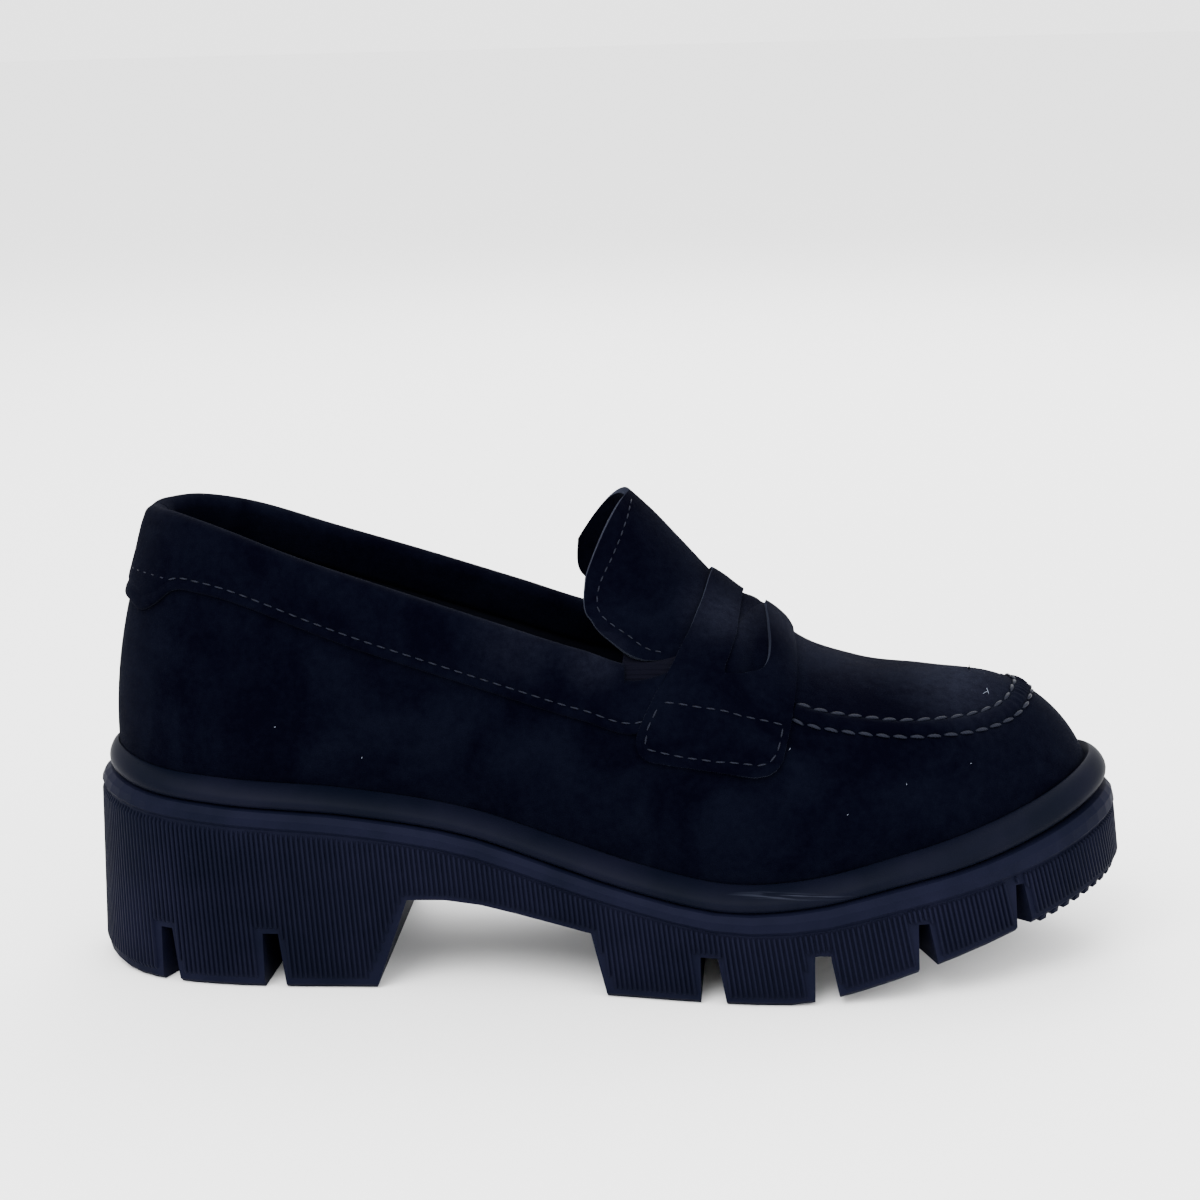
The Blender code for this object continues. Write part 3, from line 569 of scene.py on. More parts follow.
def instep(turn, side, over):
    """Point on the instep, from the top line (0) to the crown (1)."""
    start = top_line(turn, side)
    end = crown_line(turn)
    _, into = foot_line(turn, side)
    span = np.linalg.norm(end - start, axis=-1)
    leave = slanted(into, column(TOP, "top_lean", turn), span)
    arrive = slanted(into, 90.0 + 0 * span, span)
    return hermite(start, leave, end, arrive, over[..., None])


def wall_share(turn, side):
    """Share of the way from foot to crown that the wall takes, and that way's length."""
    base, _ = foot_line(turn, side)
    top = top_line(turn, side)
    low = np.linalg.norm(top - base, axis=-1)
    high = np.linalg.norm(crown_line(turn) - top, axis=-1)
    return low / (low + high), low + high


def form(turn, side, share):
    """Point on the whole form, from the foot (0) over the wall to the crown (1)."""
    split, _ = wall_share(turn, side)
    rise = np.clip(share / split, 0, 1)
    over = np.clip((share - split) / np.maximum(1 - split, 0.000001), 0, 1)
    return np.where((share <= split)[..., None], wall(turn, side, rise), instep(turn, side, over))


def relief(turn, side, share):
    """Height of the troughs and ridges."""
    station = station_of(turn)
    uneven = side * (1 - share) ** 2
    height = np.zeros(np.shape(station))
    for k in range(len(CREASES["station"])):
        u = (station - CREASES["station"][k] - 0.008 * uneven) / CREASES["along"][k]
        v = (share - CREASES["share"][k] + 0.02 * uneven) / CREASES["across"][k]
        height = height - CREASES["depth"][k] * np.exp(-u**2 - v**2)
    return height


def on_form(turn, side, share, lift, place=form):
    """Point so far above the form, with the form's relief on it."""
    given = [np.asarray(value, float) for value in (turn, side, share, lift)]
    turn, side, share, lift = np.broadcast_arrays(*given)
    here = place(turn, side, share)
    step = np.where(turn < 0.5, 0.002, -0.002)
    reach = np.where(share < 0.5, 0.004, -0.004)
    along = (place(turn + step, side, share) - here) / step[..., None]
    up = (place(turn, side, share + reach) - here) / reach[..., None]
    normal = -side[..., None] * np.cross(along, up)
    normal /= np.maximum(np.linalg.norm(normal, axis=-1, keepdims=True), 1e-12)
    whole = share * wall_share(turn, side)[0] if place is wall else share
    return here + normal * (lift + relief(turn, side, whole))[..., None]


def slot_swell(turn, share):
    """Lift of the suede that bulges up through the strap's slot."""
    u = (station_of(turn) - SLOT_SWELL["station"]) / SLOT_SWELL["along"]
    v = (1 - share) / SLOT_SWELL["across"]
    return SLOT_SWELL["height"] * np.exp(-u**2 - v**2)


def slab(name, outer, inner, faces, materials, round_edge=0.0):
    """Closed sheet from its outer and inner points, its cut edges a finish of their own."""
    keys = np.round(outer / 0.000002).astype(int)
    _, first, index = np.unique(keys, axis=0, return_index=True, return_inverse=True)
    index = index.ravel()
    kept = []
    for face in faces:
        corners = list(dict.fromkeys(int(index[c]) for c in face))
        if len(corners) > 2:
            kept.append(corners)
    count = len(first)
    closed = [list(f) for f in kept] + [[c + count for c in reversed(f)] for f in kept]
    slots = [0] * len(kept) + [1] * len(kept)
    around = [(a, b) for face in kept for a, b in zip(face, face[1:] + face[:1])]
    edges = set(around)
    rim = [(a, b) for a, b in around if (b, a) not in edges]
    for a, b in rim:
        closed.append([b, a, a + count, b + count])
        slots.append(2)
    piece = make_object(name, np.vstack([outer[first], inner[first]]), closed, materials, slots)
    if round_edge:
        bevel = piece.modifiers.new("rounded_edge", "BEVEL")
        bevel.width = round_edge
        bevel.segments = 2
        bevel.limit_method = "ANGLE"
        bevel.angle_limit = math.radians(50)
    return piece


# Navy suede: split leather with a raised nap.  It drinks the light, shows paler where
# the nap is brushed the other way, and glints faintly along what stands proud.  Its paler
# spots on the tops of the toe, vamp, strap, collar and heel are painted highlight, partly brushed
# nap.
# Spots of painted highlight, partly brushed nap: place on the form, radius and strength
BRUSHED_NAP_AND_PAINTED_HIGHLIGHTS = {
    "station": (0.900, 0.930, 0.607, 0.680, 0.515, 0.440, 0.020, 0.750),
    "share": (0.800, 0.880, 0.820, 0.920, 0.530, 0.500, 0.420, 0.900),
    "radius": (0.024, 0.018, 0.015, 0.014, 0.012, 0.018, 0.022, 0.020),
    "much": (0.42, 0.25, 0.42, 0.30, 0.35, 0.20, 0.20, 0.20),
}


def suede_material(name, dark, light, sheen):
    made, tree, shader, place = start_material(name, {
        "Roughness": 0.95, "IOR": 1.4, "Specular IOR Level": 0.01, "Sheen Weight": sheen,
        "Sheen Roughness": 0.4, "Sheen Tint": srgb("98a0bc")})
    brushed = add_node(tree, "ShaderNodeTexNoise", {"Scale": 1 / 0.028, "Detail": 3.0,
                       "Distortion": 1.2}, {"Vector": place})
    mottle = add_node(tree, "ShaderNodeTexNoise", {"Scale": 1 / 0.0022, "Detail": 5.0,
                      "Roughness": 0.7}, {"Vector": place})
    mixed = add_node(tree, "ShaderNodeMath", {"operation": "MULTIPLY_ADD", 1: 0.55},
                     {0: mottle.outputs["Fac"], 2: brushed.outputs["Fac"]})
    tone = add_node(tree, "ShaderNodeMapRange", {"From Min": 0.62, "From Max": 1.0},
                    {"Value": mixed.outputs[0]})
    shade = add_node(tree, "ShaderNodeMix", {"data_type": "RGBA", 6: srgb(dark), 7: srgb(light)},
                     {0: tone.outputs["Result"]})
    # Paler spots where the light falls on the tops: painted highlight, partly brushed nap
    for station, share, radius, much in zip(*BRUSHED_NAP_AND_PAINTED_HIGHLIGHTS.values()):
        spot = on_form(turn_of(station), -1.0, share, 0.0)
        away = add_node(tree, "ShaderNodeVectorMath", {"operation": "DISTANCE", 1: tuple(spot)},
                        {0: place})
        near = add_node(tree, "ShaderNodeMapRange", {
            "interpolation_type": "SMOOTHSTEP", "From Min": radius, "From Max": 0.0,
            "To Max": much}, {"Value": away.outputs["Value"]})
        raised = add_node(tree, "ShaderNodeMath", {"operation": "MULTIPLY"},
                          {0: near.outputs["Result"], 1: mottle.outputs["Fac"]})
        shade = add_node(tree, "ShaderNodeMix", {"data_type": "RGBA", 7: srgb("1f212c")},
                         {0: raised.outputs[0], 6: shade.outputs[2]})
    tree.links.new(shade.outputs[2], shader.inputs["Base Color"])
    grain(tree, shader, place, 0.0005, 4.0, 0.8, 0.00025, roughness=0.7)
    return made


suede = suede_material("navy_suede", "010106", "04050d", 0.018)
cut_suede = suede_material("cut_edge_of_suede", "12141d", "20232d", 0.05)

# Lining: smooth coated textile, dark, with a low gloss.
lining, tree, shader, place = start_material("coated_lining", {
    "Base Color": srgb("04050c"), "Roughness": 0.5, "IOR": 1.4, "Specular IOR Level": 0.08})
grain(tree, shader, place, 0.0006, 2.0, 0.3, 0.0001)

turns = np.concatenate([np.linspace(0, float(turn_of(0.56)), 90),
                        np.linspace(float(turn_of(0.56)), THROAT_TURN, 28)[1:],
                        np.linspace(THROAT_TURN, 1, 70)[1:]])
rises = np.linspace(0, 1, 42)
turn, rise = np.meshgrid(turns, rises, indexing="ij")
outer = []
inner = []
faces = []
for side in (-1, 1):
    faces += grid_faces(len(turns), len(rises), len(outer) * turn.size, flip=side < 0)
    skin = on_form(turn, side, rise, slot_swell(turn, rise * wall_share(turn, side)[0]), wall)
    lined = on_form(turn, side, rise, -WALL, wall)
    lined[:, 0, 2] = skin[:, 0, 2]
    for sheet in (skin, lined):
        ridge = (turns >= THROAT_TURN) & (rises[-1] == 1)
        sheet[ridge, -1, 1] = middle_line(sheet[ridge, -1, 0])
        sheet[0, :, 1] = -OUTLINE_CENTRE
    outer.append(skin.reshape(-1, 3))
    inner.append(lined.reshape(-1, 3))
upper = slab("suede_upper", np.vstack(outer), np.vstack(inner), faces, [suede, lining, cut_suede])
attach(upper, "root")
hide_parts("upper")

# Insole.  A sock of the lining's stuff over a thin board on the midsole's seat.
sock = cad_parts["insole"]
sock.data.materials.clear()
sock.data.materials.append(lining)

# Tongue.  One cut piece of suede that stands up from the throat with a raw, paler edge
# and a row of stitches just inside it.
TONGUE_THICKNESS = 0.0022
TONGUE_CLEARANCE = 0.0010
TONGUE_EDGE = {
    "station": (0.491, 0.495, 0.508, 0.529, 0.555, 0.58, 0.61, 0.64),
    "share": (0.34, 0.24, 0.14, 0.08, 0.03, 0.00, 0.00, 0.00),
}
TONGUE_MEDIAL_REACH = 0.020
TONGUE_REAR = TONGUE_EDGE["station"][0]
TONGUE_FRONT = 0.6488
stations = TONGUE_REAR + (TONGUE_FRONT - TONGUE_REAR) * np.linspace(0, 1, 52) ** 1.25
across = np.linspace(0, 1, 26)
fade = np.clip((0.63 - stations) / (0.63 - stations[0]), 0, 1)
clearance = np.interp(stations, (0.535, 0.560, 0.605), (TONGUE_CLEARANCE, 0.0003, 0.00005))
grids = []
for side, reach in ((-1, 0.0), (1, TONGUE_MEDIAL_REACH)):
    turn = turn_of(stations[:, None] - reach * fade[:, None] * (1 - across))
    edge = curve(TONGUE_EDGE["station"], TONGUE_EDGE["share"], stations)
    split, length = wall_share(turn[:, 0], side)
    low = np.minimum(split + (1 - split) * edge + clearance / length, 1)
    share = low[:, None] + (1 - low[:, None]) * across
    grids.append((turn, np.full(turn.shape, float(side)), share))
turn, side, share = [np.concatenate([near, far[:, -2::-1]], axis=1) for near, far in zip(*grids)]
outer = on_form(turn, side, share, slot_swell(turn, share))
inner = on_form(turn, side, share, -TONGUE_THICKNESS)
tongue = slab("suede_tongue", outer.reshape(-1, 3), inner.reshape(-1, 3),
              grid_faces(*turn.shape, flip=True), [suede, suede, cut_suede], 0.0004)
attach(tongue, "root")
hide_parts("tongue")

# Strap.  The saddle of the penny loafer: one strip of suede across the instep, slotted
# in the middle and box-stitched down on both sides of the foot.
STRAP = {
    "share": (0.30, 0.36, 0.41, 0.46, 0.52, 0.60, 0.66, 0.72, 0.79, 0.85, 0.90, 0.95, 1.00),
    "rear": (0.5490, 0.5520, 0.5583, 0.5654, 0.5732, 0.5812, 0.5844, 0.5871, 0.5888,
             0.5899, 0.5897, 0.5888, 0.5880),
    "front": (0.6750, 0.6768, 0.6800, 0.6836, 0.6873, 0.6910, 0.6934, 0.6953, 0.6967,
              0.6973, 0.6970, 0.6962, 0.6955),
}
STRAP_END = {
    "along": (0.000, 0.012, 0.050, 0.160, 0.330, 0.540, 0.680, 0.840, 0.925, 0.980, 1.000),
    "share": (0.352, 0.332, 0.314, 0.307, 0.303, 0.299, 0.302, 0.314, 0.331, 0.357, 0.380),
}
SLOT = {
    "share": (0.577, 0.584, 0.592, 0.610, 0.635, 0.660, 0.683, 0.744, 0.826, 0.880, 0.940, 1.000),
    "rear": (0.6198, 0.6192, 0.6191, 0.6199, 0.6215, 0.6230, 0.6240, 0.6263,
             0.6250, 0.6238, 0.6222, 0.6212),
    "front": (0.6202, 0.6285, 0.6340, 0.6431, 0.6541, 0.6585, 0.6609, 0.6627,
              0.6606, 0.6585, 0.6555, 0.6525),
}
STRAP_CLEARANCE = 0.0003
STRAP_THICKNESS = 0.0014
SKIVE_REACH = 0.016
SKIVED_OFF = 0.55
TAUT_STEP = 0.009


def strap_edge(name, share):
    """Station of the strap's rear or front edge at a share of the form."""
    return curve(STRAP["share"], STRAP[name], share)


def taut(turn, side, share):
    """The form as a strap pulled tight over it lies, without its short hollows."""
    total = 0
    for step, weight in zip((-2, -1, 0, 1, 2), (1, 4, 6, 4, 1)):
        total = total + form(turn + step * TAUT_STEP, side, share) * weight / 16
    return total


def strap_half(edge, columns, rows):
    """Turns and shares of the strap's rear (edge 0) or front (edge 1) half."""
    tip = SLOT["share"][0]
    name = ("rear", "front")[edge]
    turn_rows = []
    share_rows = []
    middle = strap_edge("rear", tip), strap_edge("front", tip)
    inner_part = float((SLOT["rear"][0] - middle[0]) / (middle[1] - middle[0]))
    dense = np.linspace(0, 1, columns) ** 1.6
    part = dense * inner_part if edge == 0 else 1 - dense[::-1] * (1 - inner_part)
    end = curve(STRAP_END["along"], STRAP_END["share"], part)
    for v in np.linspace(0, 1, rows):
        share = end + (tip - end) * v
        rear, front = strap_edge("rear", share), strap_edge("front", share)
        turn_rows.append(turn_of(rear + (front - rear) * part))
        share_rows.append(share)
    for share in tip + (1 - tip) * np.linspace(0, 1, 2 * rows)[1:] ** 1.4:
        away = float(strap_edge(name, share))
        near = float(curve(SLOT["share"], SLOT[name], share))
        ends = (away, near) if edge == 0 else (near, away)
        spread = dense if edge == 0 else 1 - dense[::-1]
        turn_rows.append(turn_of(ends[0] + (ends[1] - ends[0]) * spread))
        share_rows.append(np.full(columns, share))
    return np.array(turn_rows).T, np.array(share_rows).T


outer = []
inner = []
faces = []
for edge in (0, 1):
    turn, share = strap_half(edge, 18, 24)
    turn, share = [np.concatenate([g, g[:, -2::-1]], axis=1) for g in (turn, share)]
    side = np.ones(turn.shape)
    side[:, :turn.shape[1] // 2 + 1] = -1
    faces += grid_faces(*turn.shape, sum(len(p) for p in outer), flip=True)
    station = station_of(turn)
    from_rim = np.minimum(station - strap_edge("rear", share),
                          strap_edge("front", share) - station)
    over_instep = np.clip((share - 0.6) / 0.3, 0, 1)
    skived = (1 - np.clip(from_rim / SKIVE_REACH, 0, 1)) ** 2 * over_instep
    thick = STRAP_THICKNESS * (1 - SKIVED_OFF * skived)
    outer.append(on_form(turn, side, share, STRAP_CLEARANCE + thick, taut).reshape(-1, 3))
    inner.append(on_form(turn, side, share, STRAP_CLEARANCE, taut).reshape(-1, 3))
strap = slab("suede_strap", np.vstack(outer), np.vstack(inner), faces,
             [suede, suede, cut_suede], 0.0005)
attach(strap, "root")
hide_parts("strap")

# Collar band.  Suede folded over a soft roll round the opening, felled inside, with its
# lower edge turned and stitched and a wavy tab at the heel.
BAND = {
    "station": (0.00, 0.018, 0.035, 0.056, 0.068, 0.08, 0.10, 0.30, 0.56),
    "depth": (1.36, 1.40, 1.48, 1.30, 1.12, 1.04, 1.00, 1.00, 1.00),
}
BAND_WIDTH = 0.0185
BAND_END = 0.575
BAND_UNDER_STRAP = 0.0012
ROLL_END = 0.5400
ROLL_END_EASE = 0.0024
ROLL_FLATTENED = 0.62
ROLL_NARROWED = 0.3
GORE_DROP = 0.0026
ROLL = {"depth": 0.0026, "inside": 0.0010, "wide": 0.0031, "high": 0.0028}

# Depth below the top line and lift off the wall, first inside, then outside as a share
BAND_FELL = ((0.0128, -0.0022), (0.0125, -0.0030), (0.0110, -0.0034), (0.0080, -0.0038),
             (0.0052, -0.0041))
BAND_BODY = ((0.24, 0.0021), (0.36, 0.0019), (0.50, 0.00165), (0.66, 0.0016), (0.78, 0.0016),
             (0.82, 0.0015), (0.85, 0.0012), (0.88, 0.0014), (0.92, 0.0016), (0.97, 0.0016),
             (0.99, 0.0014), (1.00, 0.0010), (1.00, 0.0003), (0.60, 0.0003), (0.15, 0.0003))
fine = station_of(np.linspace(0, float(turn_of(0.10)), 46))
stations = np.concatenate([fine, np.linspace(0.10, 0.53, 104)[1:],
                           np.linspace(0.53, BAND_END, 34)[1:]])


def at_depth(turn, side, depth, lift):
    """Point so far below the top line and so far out from the wall."""
    base, _ = foot_line(turn, side)
    span = np.linalg.norm(top_line(turn, side) - base, axis=-1)
    return on_form(turn, side, 1 - depth / span, lift, wall)


def toward_strap(st, side, depth):
    """Turns of stations along the band, drawn out so that its end meets the strap's edge."""
    base, _ = foot_line(turn_of(BAND_END), side)
    span = np.linalg.norm(top_line(turn_of(BAND_END), side) - base)
    split, _ = wall_share(turn_of(BAND_END), side)
    end = strap_edge("rear", (1 - depth / span) * split) + BAND_UNDER_STRAP
    drawn = 0.5 + (st - 0.5) * (end - 0.5) / (BAND_END - 0.5)
    return turn_of(np.where(st > 0.5, drawn, st))


loops = []
for side, order in ((-1, slice(None, None, -1)), (1, slice(1, None))):
    st = stations[order]
    low = BAND_WIDTH * curve(BAND["station"], BAND["depth"], st)
    past = np.clip((st - ROLL_END) / ROLL_END_EASE, 0, 1)
    drop = GORE_DROP * past
    flat = (1 - ROLL_FLATTENED * past)[:, None]
    narrow = (1 - ROLL_NARROWED * past)[:, None]
    loop = []
    for depth, lift in BAND_FELL:
        loop.append(at_depth(toward_strap(st, side, depth + drop), side, depth + drop, lift))
    turn = toward_strap(st, side, ROLL["depth"] + drop)
    middle = at_depth(turn, side, ROLL["depth"] + drop, 0.0)
    out = unit(at_depth(turn, side, ROLL["depth"] + drop, 0.001) - middle)
    up = unit(at_depth(turn, side, ROLL["depth"] + drop - 0.001, 0.0) - middle)
    for angle in np.radians(np.linspace(180, 0, 15)):
        sideways = ROLL["wide"] * math.cos(angle) * narrow - ROLL["inside"]
        loop.append(middle + out * sideways + up * flat * ROLL["high"] * math.sin(angle))
    for part, lift in BAND_BODY:
        depth = np.maximum(low * part, drop + ROLL["depth"] * 1.2)
        loop.append(at_depth(toward_strap(st, side, depth), side, depth, lift))
    loops.append(np.stack(loop, axis=1))
loops = np.concatenate(loops, axis=0)
rows, wide = loops.shape[:2]
faces = ring_faces(rows, wide)
faces.append(tuple(range(wide))[::-1])
faces.append(tuple((rows - 1) * wide + j for j in range(wide)))
band = make_object("folded_collar_band", loops.reshape(-1, 3), faces, [suede])
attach(band, "root")
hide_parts("collar_band")

# Elastic gores.  Ribbed elastic let in between band and tongue on each side, so that
# the throat can stretch over the instep.
elastic, tree, shader, place = start_material("ribbed_elastic", {
    "Base Color": srgb("05050c"), "Roughness": 0.9, "Specular IOR Level": 0.02})
cord_lines = add_node(tree, "ShaderNodeTexWave", {"bands_direction": "Z", "Scale": 1 / 0.0035,
                      "Distortion": 0.4}, {"Vector": place})
relief_bump = add_node(tree, "ShaderNodeBump", {"Strength": 0.8, "Distance": 0.0003},
                       {"Height": cord_lines.outputs["Fac"]})
tree.links.new(relief_bump.outputs["Normal"], shader.inputs["Normal"])
GORE_STATIONS = np.linspace(0.5405, 0.585, 30)
GORE_PATH = {
    "along": (0.0, 0.2, 0.4, 0.52, 0.64, 0.76, 0.88, 1.0),
    "depth": (0.0050, 0.0028, 0.0008, -0.0003, -0.0010, -0.0018, -0.0028, -0.0040),
    "lift": (0.0004, 0.0005, 0.0005, 0.0002, -0.0006, -0.0015, -0.0022, -0.0026),
}
GORE_THICKNESS = 0.0004
for side, label in ((-1, "lateral"), (1, "medial")):
    rows = np.linspace(0, 1, 26)
    turn = np.repeat(turn_of(GORE_STATIONS)[:, None], len(rows), axis=1)
    depth = np.broadcast_to(np.interp(rows, GORE_PATH["along"], GORE_PATH["depth"]), turn.shape)
    lift = np.broadcast_to(np.interp(rows, GORE_PATH["along"], GORE_PATH["lift"]), turn.shape)
    outer = at_depth(turn, side, depth, lift)
    inner = at_depth(turn, side, depth, lift - GORE_THICKNESS)
    gore = slab(f"ribbed_gore_{label}", outer.reshape(-1, 3), inner.reshape(-1, 3),
                grid_faces(*turn.shape, flip=side < 0), [elastic, elastic, elastic])
    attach(gore, "root")
    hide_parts(f"gore_{label}")

# Toe seam.  The apron and the wall of the toe are pinched together into a low ridge.
SEAM = {
    "station": (0.690, 0.76, 0.83, 0.87, 0.90, 0.93, 0.96, 0.985, 1.00),
    "share": (0.556, 0.550, 0.530, 0.523, 0.525, 0.540, 0.580, 0.625, 0.648),
}
SEAM_WIDTH = 0.0046

# Place across the seam as a share of its width, and height off the suede
SEAM_PROFILE = np.array([[-0.62, -0.0003], [-0.5, 0.0002], [-0.36, 0.0009], [-0.18, 0.0011],
                         [0.0, 0.00115], [0.18, 0.0011], [0.36, 0.0009], [0.5, 0.0002],
                         [0.62, -0.0003]])
SEAM_PUCKER = 0.08


def seam_path(steps, shift=0.0):
    """Middle of the seam from strap to strap, with its normals and the way across."""
    turns = np.linspace(float(turn_of(SEAM["station"][0])), 1, steps)
    rises = column(SEAM, "share", turns)
    path = []
    normals = []
    for side, order in ((-1, slice(None)), (1, slice(-2, None, -1))):
        here = on_form(turns, side, rises, 0.0, wall)
        out = on_form(turns, side, rises, 0.001, wall) - here
        path.append(here[order])
        normals.append(unit(out)[order])
    path = np.concatenate(path)
    normals = np.concatenate(normals)
    across = unit(np.cross(normals, np.gradient(path, axis=0)))
    return path + across * shift, normals, across


path, normals, across = seam_path(150)
wobble = 1 + SEAM_PUCKER * np.sin(np.arange(len(path)) * 0.9)
lifts = SEAM_PROFILE[None, :, 1] * wobble[:, None]
points = (path[:, None] + across[:, None] * (SEAM_PROFILE[:, 0] * SEAM_WIDTH)[:, None]
          + normals[:, None] * lifts[..., None])
seam = make_object("pinched_toe_seam", points.reshape(-1, 3),
                   grid_faces(*points.shape[:2], flip=True), [suede])
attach(seam, "root")
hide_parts("toe_seam")

# Stitching.  Waxed navy thread: two hand-sewn rows along the toe seam, and finer
# machine rows round the tongue, the collar band and the strap's two boxes.
thread, tree, shader, place = start_material("waxed_thread", {
    "Roughness": 0.55, "IOR": 1.45, "Specular IOR Level": 0.1})
twist = add_node(tree, "ShaderNodeTexWave", {"bands_direction": "DIAGONAL",
                 "Scale": 1 / 0.0015}, {"Vector": place})
shade = add_node(tree, "ShaderNodeMix", {"data_type": "RGBA", 6: srgb("080a13"), 7: srgb("10131f")},
                 {0: twist.outputs["Fac"]})
tree.links.new(shade.outputs[2], shader.inputs["Base Color"])


def stitch_row(name, path, normals, pitch, length, width, lift, slant=0.0):
    """Row of thread stitches, each sunk at both ends, along a path with its normals."""
    run = np.concatenate([[0], np.cumsum(np.linalg.norm(np.diff(path, axis=0), axis=1))])
    count = max(int(run[-1] / pitch), 1)
    points = []
    faces = []
    rings, spokes = 7, 6
    for k in range(count):
        middle = (k + 0.5) * run[-1] / count
        behind, at, ahead = (np.array([np.interp(middle + step, run, path[:, c]) for c in range(3)])
                             for step in (-0.0006, 0.0, 0.0006))
        out = np.array([np.interp(middle, run, normals[:, c]) for c in range(3)])
        out /= np.linalg.norm(out)
        along = ahead - behind
        along -= out * (along @ out)
        along /= np.linalg.norm(along)
        over = np.cross(out, along)
        along, over = (along * math.cos(slant) + over * math.sin(slant),
                       over * math.cos(slant) - along * math.sin(slant))
        base = len(points)
        for i in range(rings):
            t = i / (rings - 1)
            swell = math.sqrt(max(math.sin(math.pi * (0.06 + 0.88 * t)), 0))
            centre = at + along * (t - 0.5) * length + out * (lift + width * 0.45 * (swell - 0.9))
            for j in range(spokes):
                angle = 2 * math.pi * j / spokes
                spoke = over * math.cos(angle) + out * 0.8 * math.sin(angle)
                points.append(centre + spoke * width / 2 * swell)
        faces += ring_faces(rings, spokes, base)
        faces.append([base + j for j in range(spokes)][::-1])
        faces.append([base + (rings - 1) * spokes + j for j in range(spokes)])
    row = make_object(name, np.array(points), faces, [thread])
    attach(row, "root")
    return row


def form_path(stations, shares, side, lift, place, steps=160):
    """Path over the form through given places, with its normals."""
    knots = np.linspace(0, 1, len(stations))
    fine = np.linspace(0, 1, steps)
    turn = turn_of(np.interp(fine, knots, stations))
    share = np.interp(fine, knots, shares)
    path = on_form(turn, side, share, lift, place)
    return path, unit(on_form(turn, side, share, lift + 0.001, place) - path)


HAND_STITCH = {"pitch": 0.0045, "length": 0.0037, "width": 0.0011, "lift": 0.0004}
for label, shift in (("upper", 0.0026), ("lower", -0.0027)):
    path, normals, _ = seam_path(150, shift)
    slant = 0.10 if shift > 0 else -0.10
    stitch_row(f"toe_stitches_{label}", path, normals, slant=slant, **HAND_STITCH)

MACHINE_STITCH = {"pitch": 0.0035, "length": 0.0024, "width": 0.00048, "lift": 0.00015}
TONGUE_STITCH = {"pitch": 0.0027, "length": 0.0017, "width": 0.00042, "lift": 0.00015}
BAND_ROW = {"most": 1.12, "share": 0.845, "lift": 0.0013}
strap_top = STRAP_CLEARANCE + STRAP_THICKNESS
BOX = {
    "station": (0.5750, 0.5850, 0.6046, 0.6331, 0.6633, 0.6775, 0.6743, 0.6712, 0.6640, 0.6541,
                0.6342, 0.6136, 0.5919, 0.5737, 0.5605, 0.5595, 0.5631, 0.5676, 0.5717),
    "share": (0.472, 0.473, 0.464, 0.461, 0.476, 0.480, 0.427, 0.390, 0.359, 0.345,
              0.334, 0.325, 0.329, 0.336, 0.340, 0.354, 0.397, 0.427, 0.456),
}
TONGUE_ROW = {
    "station": (0.4985, 0.5051, 0.5076, 0.5076, 0.5062, 0.5050, 0.5058, 0.5092, 0.5163, 0.5257,
                0.5424, 0.5529, 0.5616, 0.5720),
    "share": (0.960, 0.885, 0.824, 0.768, 0.734, 0.702, 0.672, 0.648, 0.635, 0.630,
              0.626, 0.620, 0.620, 0.630),
}
for side, label in ((-1, "lateral"), (1, "medial")):
    path, normals = form_path(BOX["station"], BOX["share"], side, strap_top, taut)
    stitch_row(f"strap_stitches_{label}", path, normals, **MACHINE_STITCH)
    shift = TONGUE_MEDIAL_REACH * 0.75 if side > 0 else 0.0
    path, normals = form_path(np.array(TONGUE_ROW["station"]) - shift * np.linspace(0.2, 1, 14),
                              TONGUE_ROW["share"], side, 0.0, form)
    stitch_row(f"tongue_stitches_{label}", path, normals, **TONGUE_STITCH)
    st = np.linspace(0.004, BAND_END - 0.003, 240)
    widest = np.minimum(curve(BAND["station"], BAND["depth"], st), BAND_ROW["most"])
    depth = BAND_WIDTH * widest * BAND_ROW["share"]
    turn = toward_strap(st, side, depth)
    path = at_depth(turn, side, depth, BAND_ROW["lift"])
    normals = unit(at_depth(turn, side, depth, BAND_ROW["lift"] + 0.001) - path)
    stitch_row(f"band_stitches_{label}", path, normals, **MACHINE_STITCH)

# Lint.  A few pale fibres caught in the nap.
fibre_white, tree, shader, place = start_material("cotton_lint", {
    "Base Color": srgb("5f6675"), "Roughness": 0.9})
LINT_RADIUS = 0.00009
LINT = {
    "station": (0.931, 0.937, 0.196, 0.280, 0.685, 0.80, 0.87, 0.74),
    "share": (0.690, 0.700, 0.110, 0.080, 0.420, 0.30, 0.33, 0.22),
    "length": (0.0016, 0.0022, 0.0005, 0.0005, 0.0007, 0.0004, 0.0004, 0.0004),
    "heading": (20, 75, 10, 60, 45, 80, 10, 30),
}
points = []
faces = []
for k in range(len(LINT["station"])):
    at = on_form(turn_of(LINT["station"][k]), -1.0, LINT["share"][k], 0.0003)
    out = on_form(turn_of(LINT["station"][k]), -1.0, LINT["share"][k], 0.0013) - at
    out /= np.linalg.norm(out)
    level_way = np.cross([0.0, 0.0, 1.0], out)
    level_way /= np.linalg.norm(level_way)
    steep_way = np.cross(out, level_way)
    heading = math.radians(LINT["heading"][k])
    along = level_way * math.cos(heading) + steep_way * math.sin(heading)
    over = np.cross(out, along)
    base = len(points)
    for t in (-0.5, 0.0, 0.5):
        for angle in np.radians([0, 120, 240]):
            bend = out * 0.0003 * (0.25 - t * t)
            points.append(at + along * t * LINT["length"][k] + bend
                          + (over * math.cos(angle) + out * math.sin(angle)) * LINT_RADIUS)
    faces += ring_faces(3, 3, base)
    faces.append((base + 2, base + 1, base))
    faces.append((base + 6, base + 7, base + 8))
lint = make_object("lint", np.array(points), faces, [fibre_white])
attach(lint, "root")

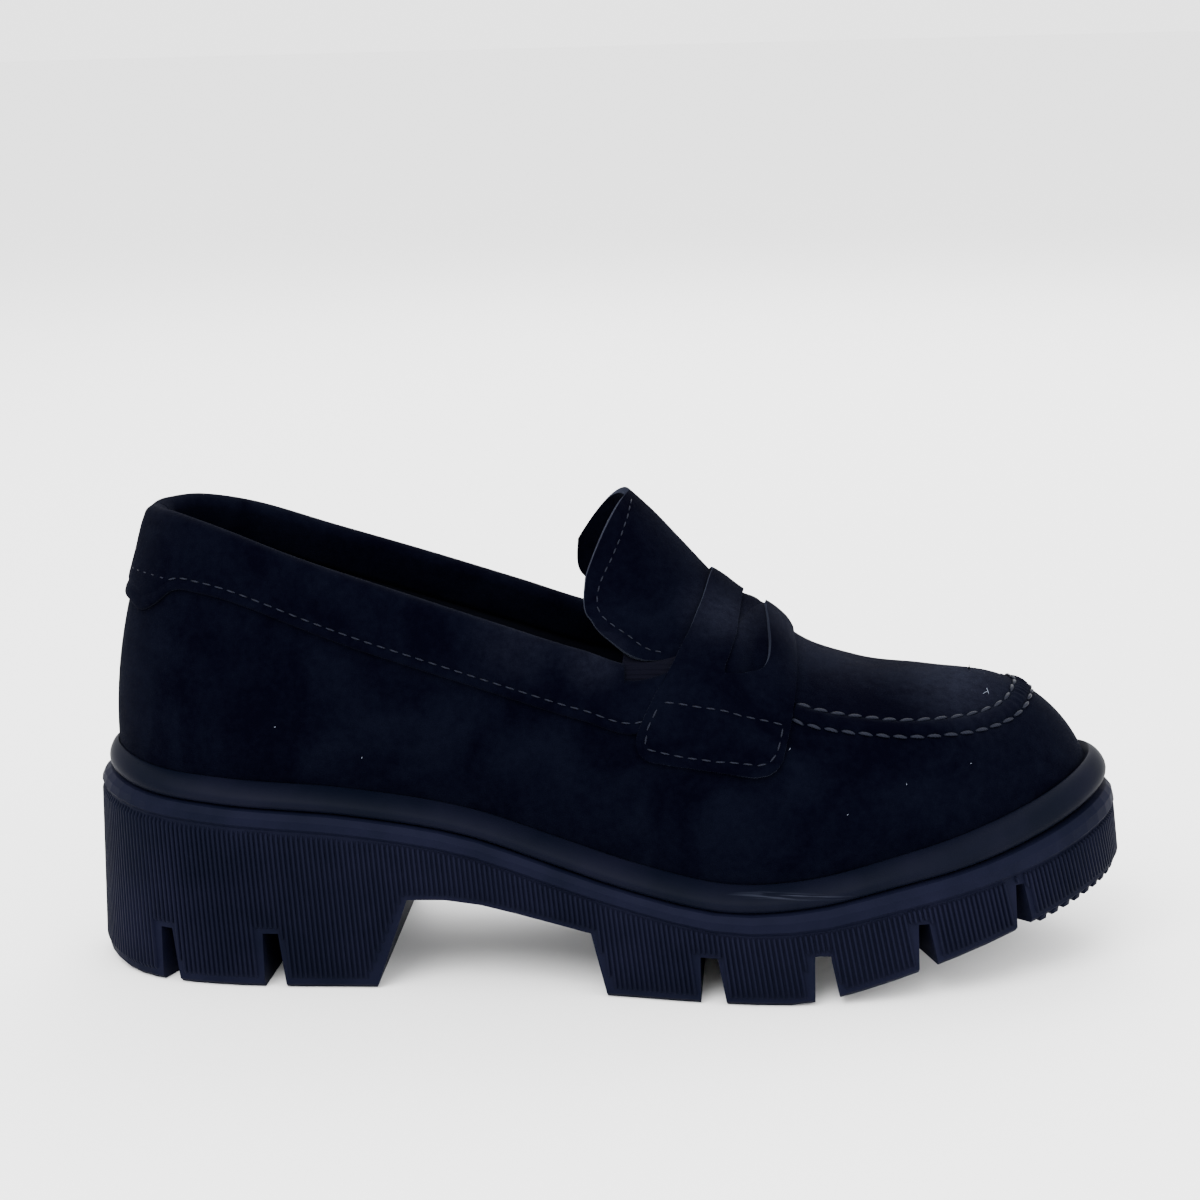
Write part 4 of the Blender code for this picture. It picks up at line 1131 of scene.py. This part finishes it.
# Floor: a plain matt white sweep.
floor_paint, tree, shader, place = start_material("matt_white_floor", {
    "Base Color": srgb("f6f6f6"), "Roughness": 0.9})
bpy.ops.mesh.primitive_plane_add(size=80, location=(0, 0, -0.0002))
floor = bpy.context.object
floor.name = "floor"
floor.data.materials.append(floor_paint)

# Studio light: a wide soft box above and in front, a weaker one behind, white all round.
world = bpy.data.worlds.new("white_room")
bpy.context.scene.world = world
world.use_nodes = True
world.node_tree.nodes["Background"].inputs["Color"].default_value = (1, 1, 1, 1)
world.node_tree.nodes["Background"].inputs["Strength"].default_value = 2.8
LAMPS = (("key", (-0.5, -1.1, 1.5), 1.2, 50), ("fill", (1.2, -0.9, 0.7), 1.0, 12),
         ("rim", (0.2, 1.3, 1.3), 1.2, 30))
for label, spot, size, watts in LAMPS:
    lamp = bpy.data.lights.new(label, "AREA")
    lamp.size = size
    lamp.energy = watts
    light = bpy.data.objects.new(label, lamp)
    light.location = spot
    light.rotation_euler = (Vector((0, 0, 0.05)) - Vector(spot)).to_track_quat("-Z", "Y").to_euler()
    bpy.context.scene.collection.objects.link(light)

# Camera: from the lateral side, a little above, rolled as the photograph is.
CAMERA = {"yaw": 4.3, "pitch": 12.5, "roll": -1.5, "distance": 0.677, "lens": 77.13}
LOOK_AT = np.array([0.0019, -0.0200 - OUTLINE_CENTRE, 0.1015])
yaw, pitch, roll = (math.radians(CAMERA[name]) for name in ("yaw", "pitch", "roll"))
ahead = np.array([-math.sin(yaw) * math.cos(pitch), math.cos(yaw) * math.cos(pitch),
                  -math.sin(pitch)])
level_right = np.array([math.cos(yaw), math.sin(yaw), 0.0])
upright = np.cross(level_right, ahead)
right = math.cos(roll) * level_right + math.sin(roll) * upright
above = -math.sin(roll) * level_right + math.cos(roll) * upright
stand = LOOK_AT - ahead * CAMERA["distance"]
camera_data = bpy.data.cameras.new("camera")
camera_data.lens = CAMERA["lens"]
camera_data.sensor_width = 36
camera = bpy.data.objects.new("camera", camera_data)
pose = np.vstack([np.column_stack([right, above, -ahead, stand]), [0, 0, 0, 1]])
camera.matrix_world = Matrix(pose.tolist())
bpy.context.scene.collection.objects.link(camera)
bpy.context.scene.camera = camera

bpy.context.view_layer.update()
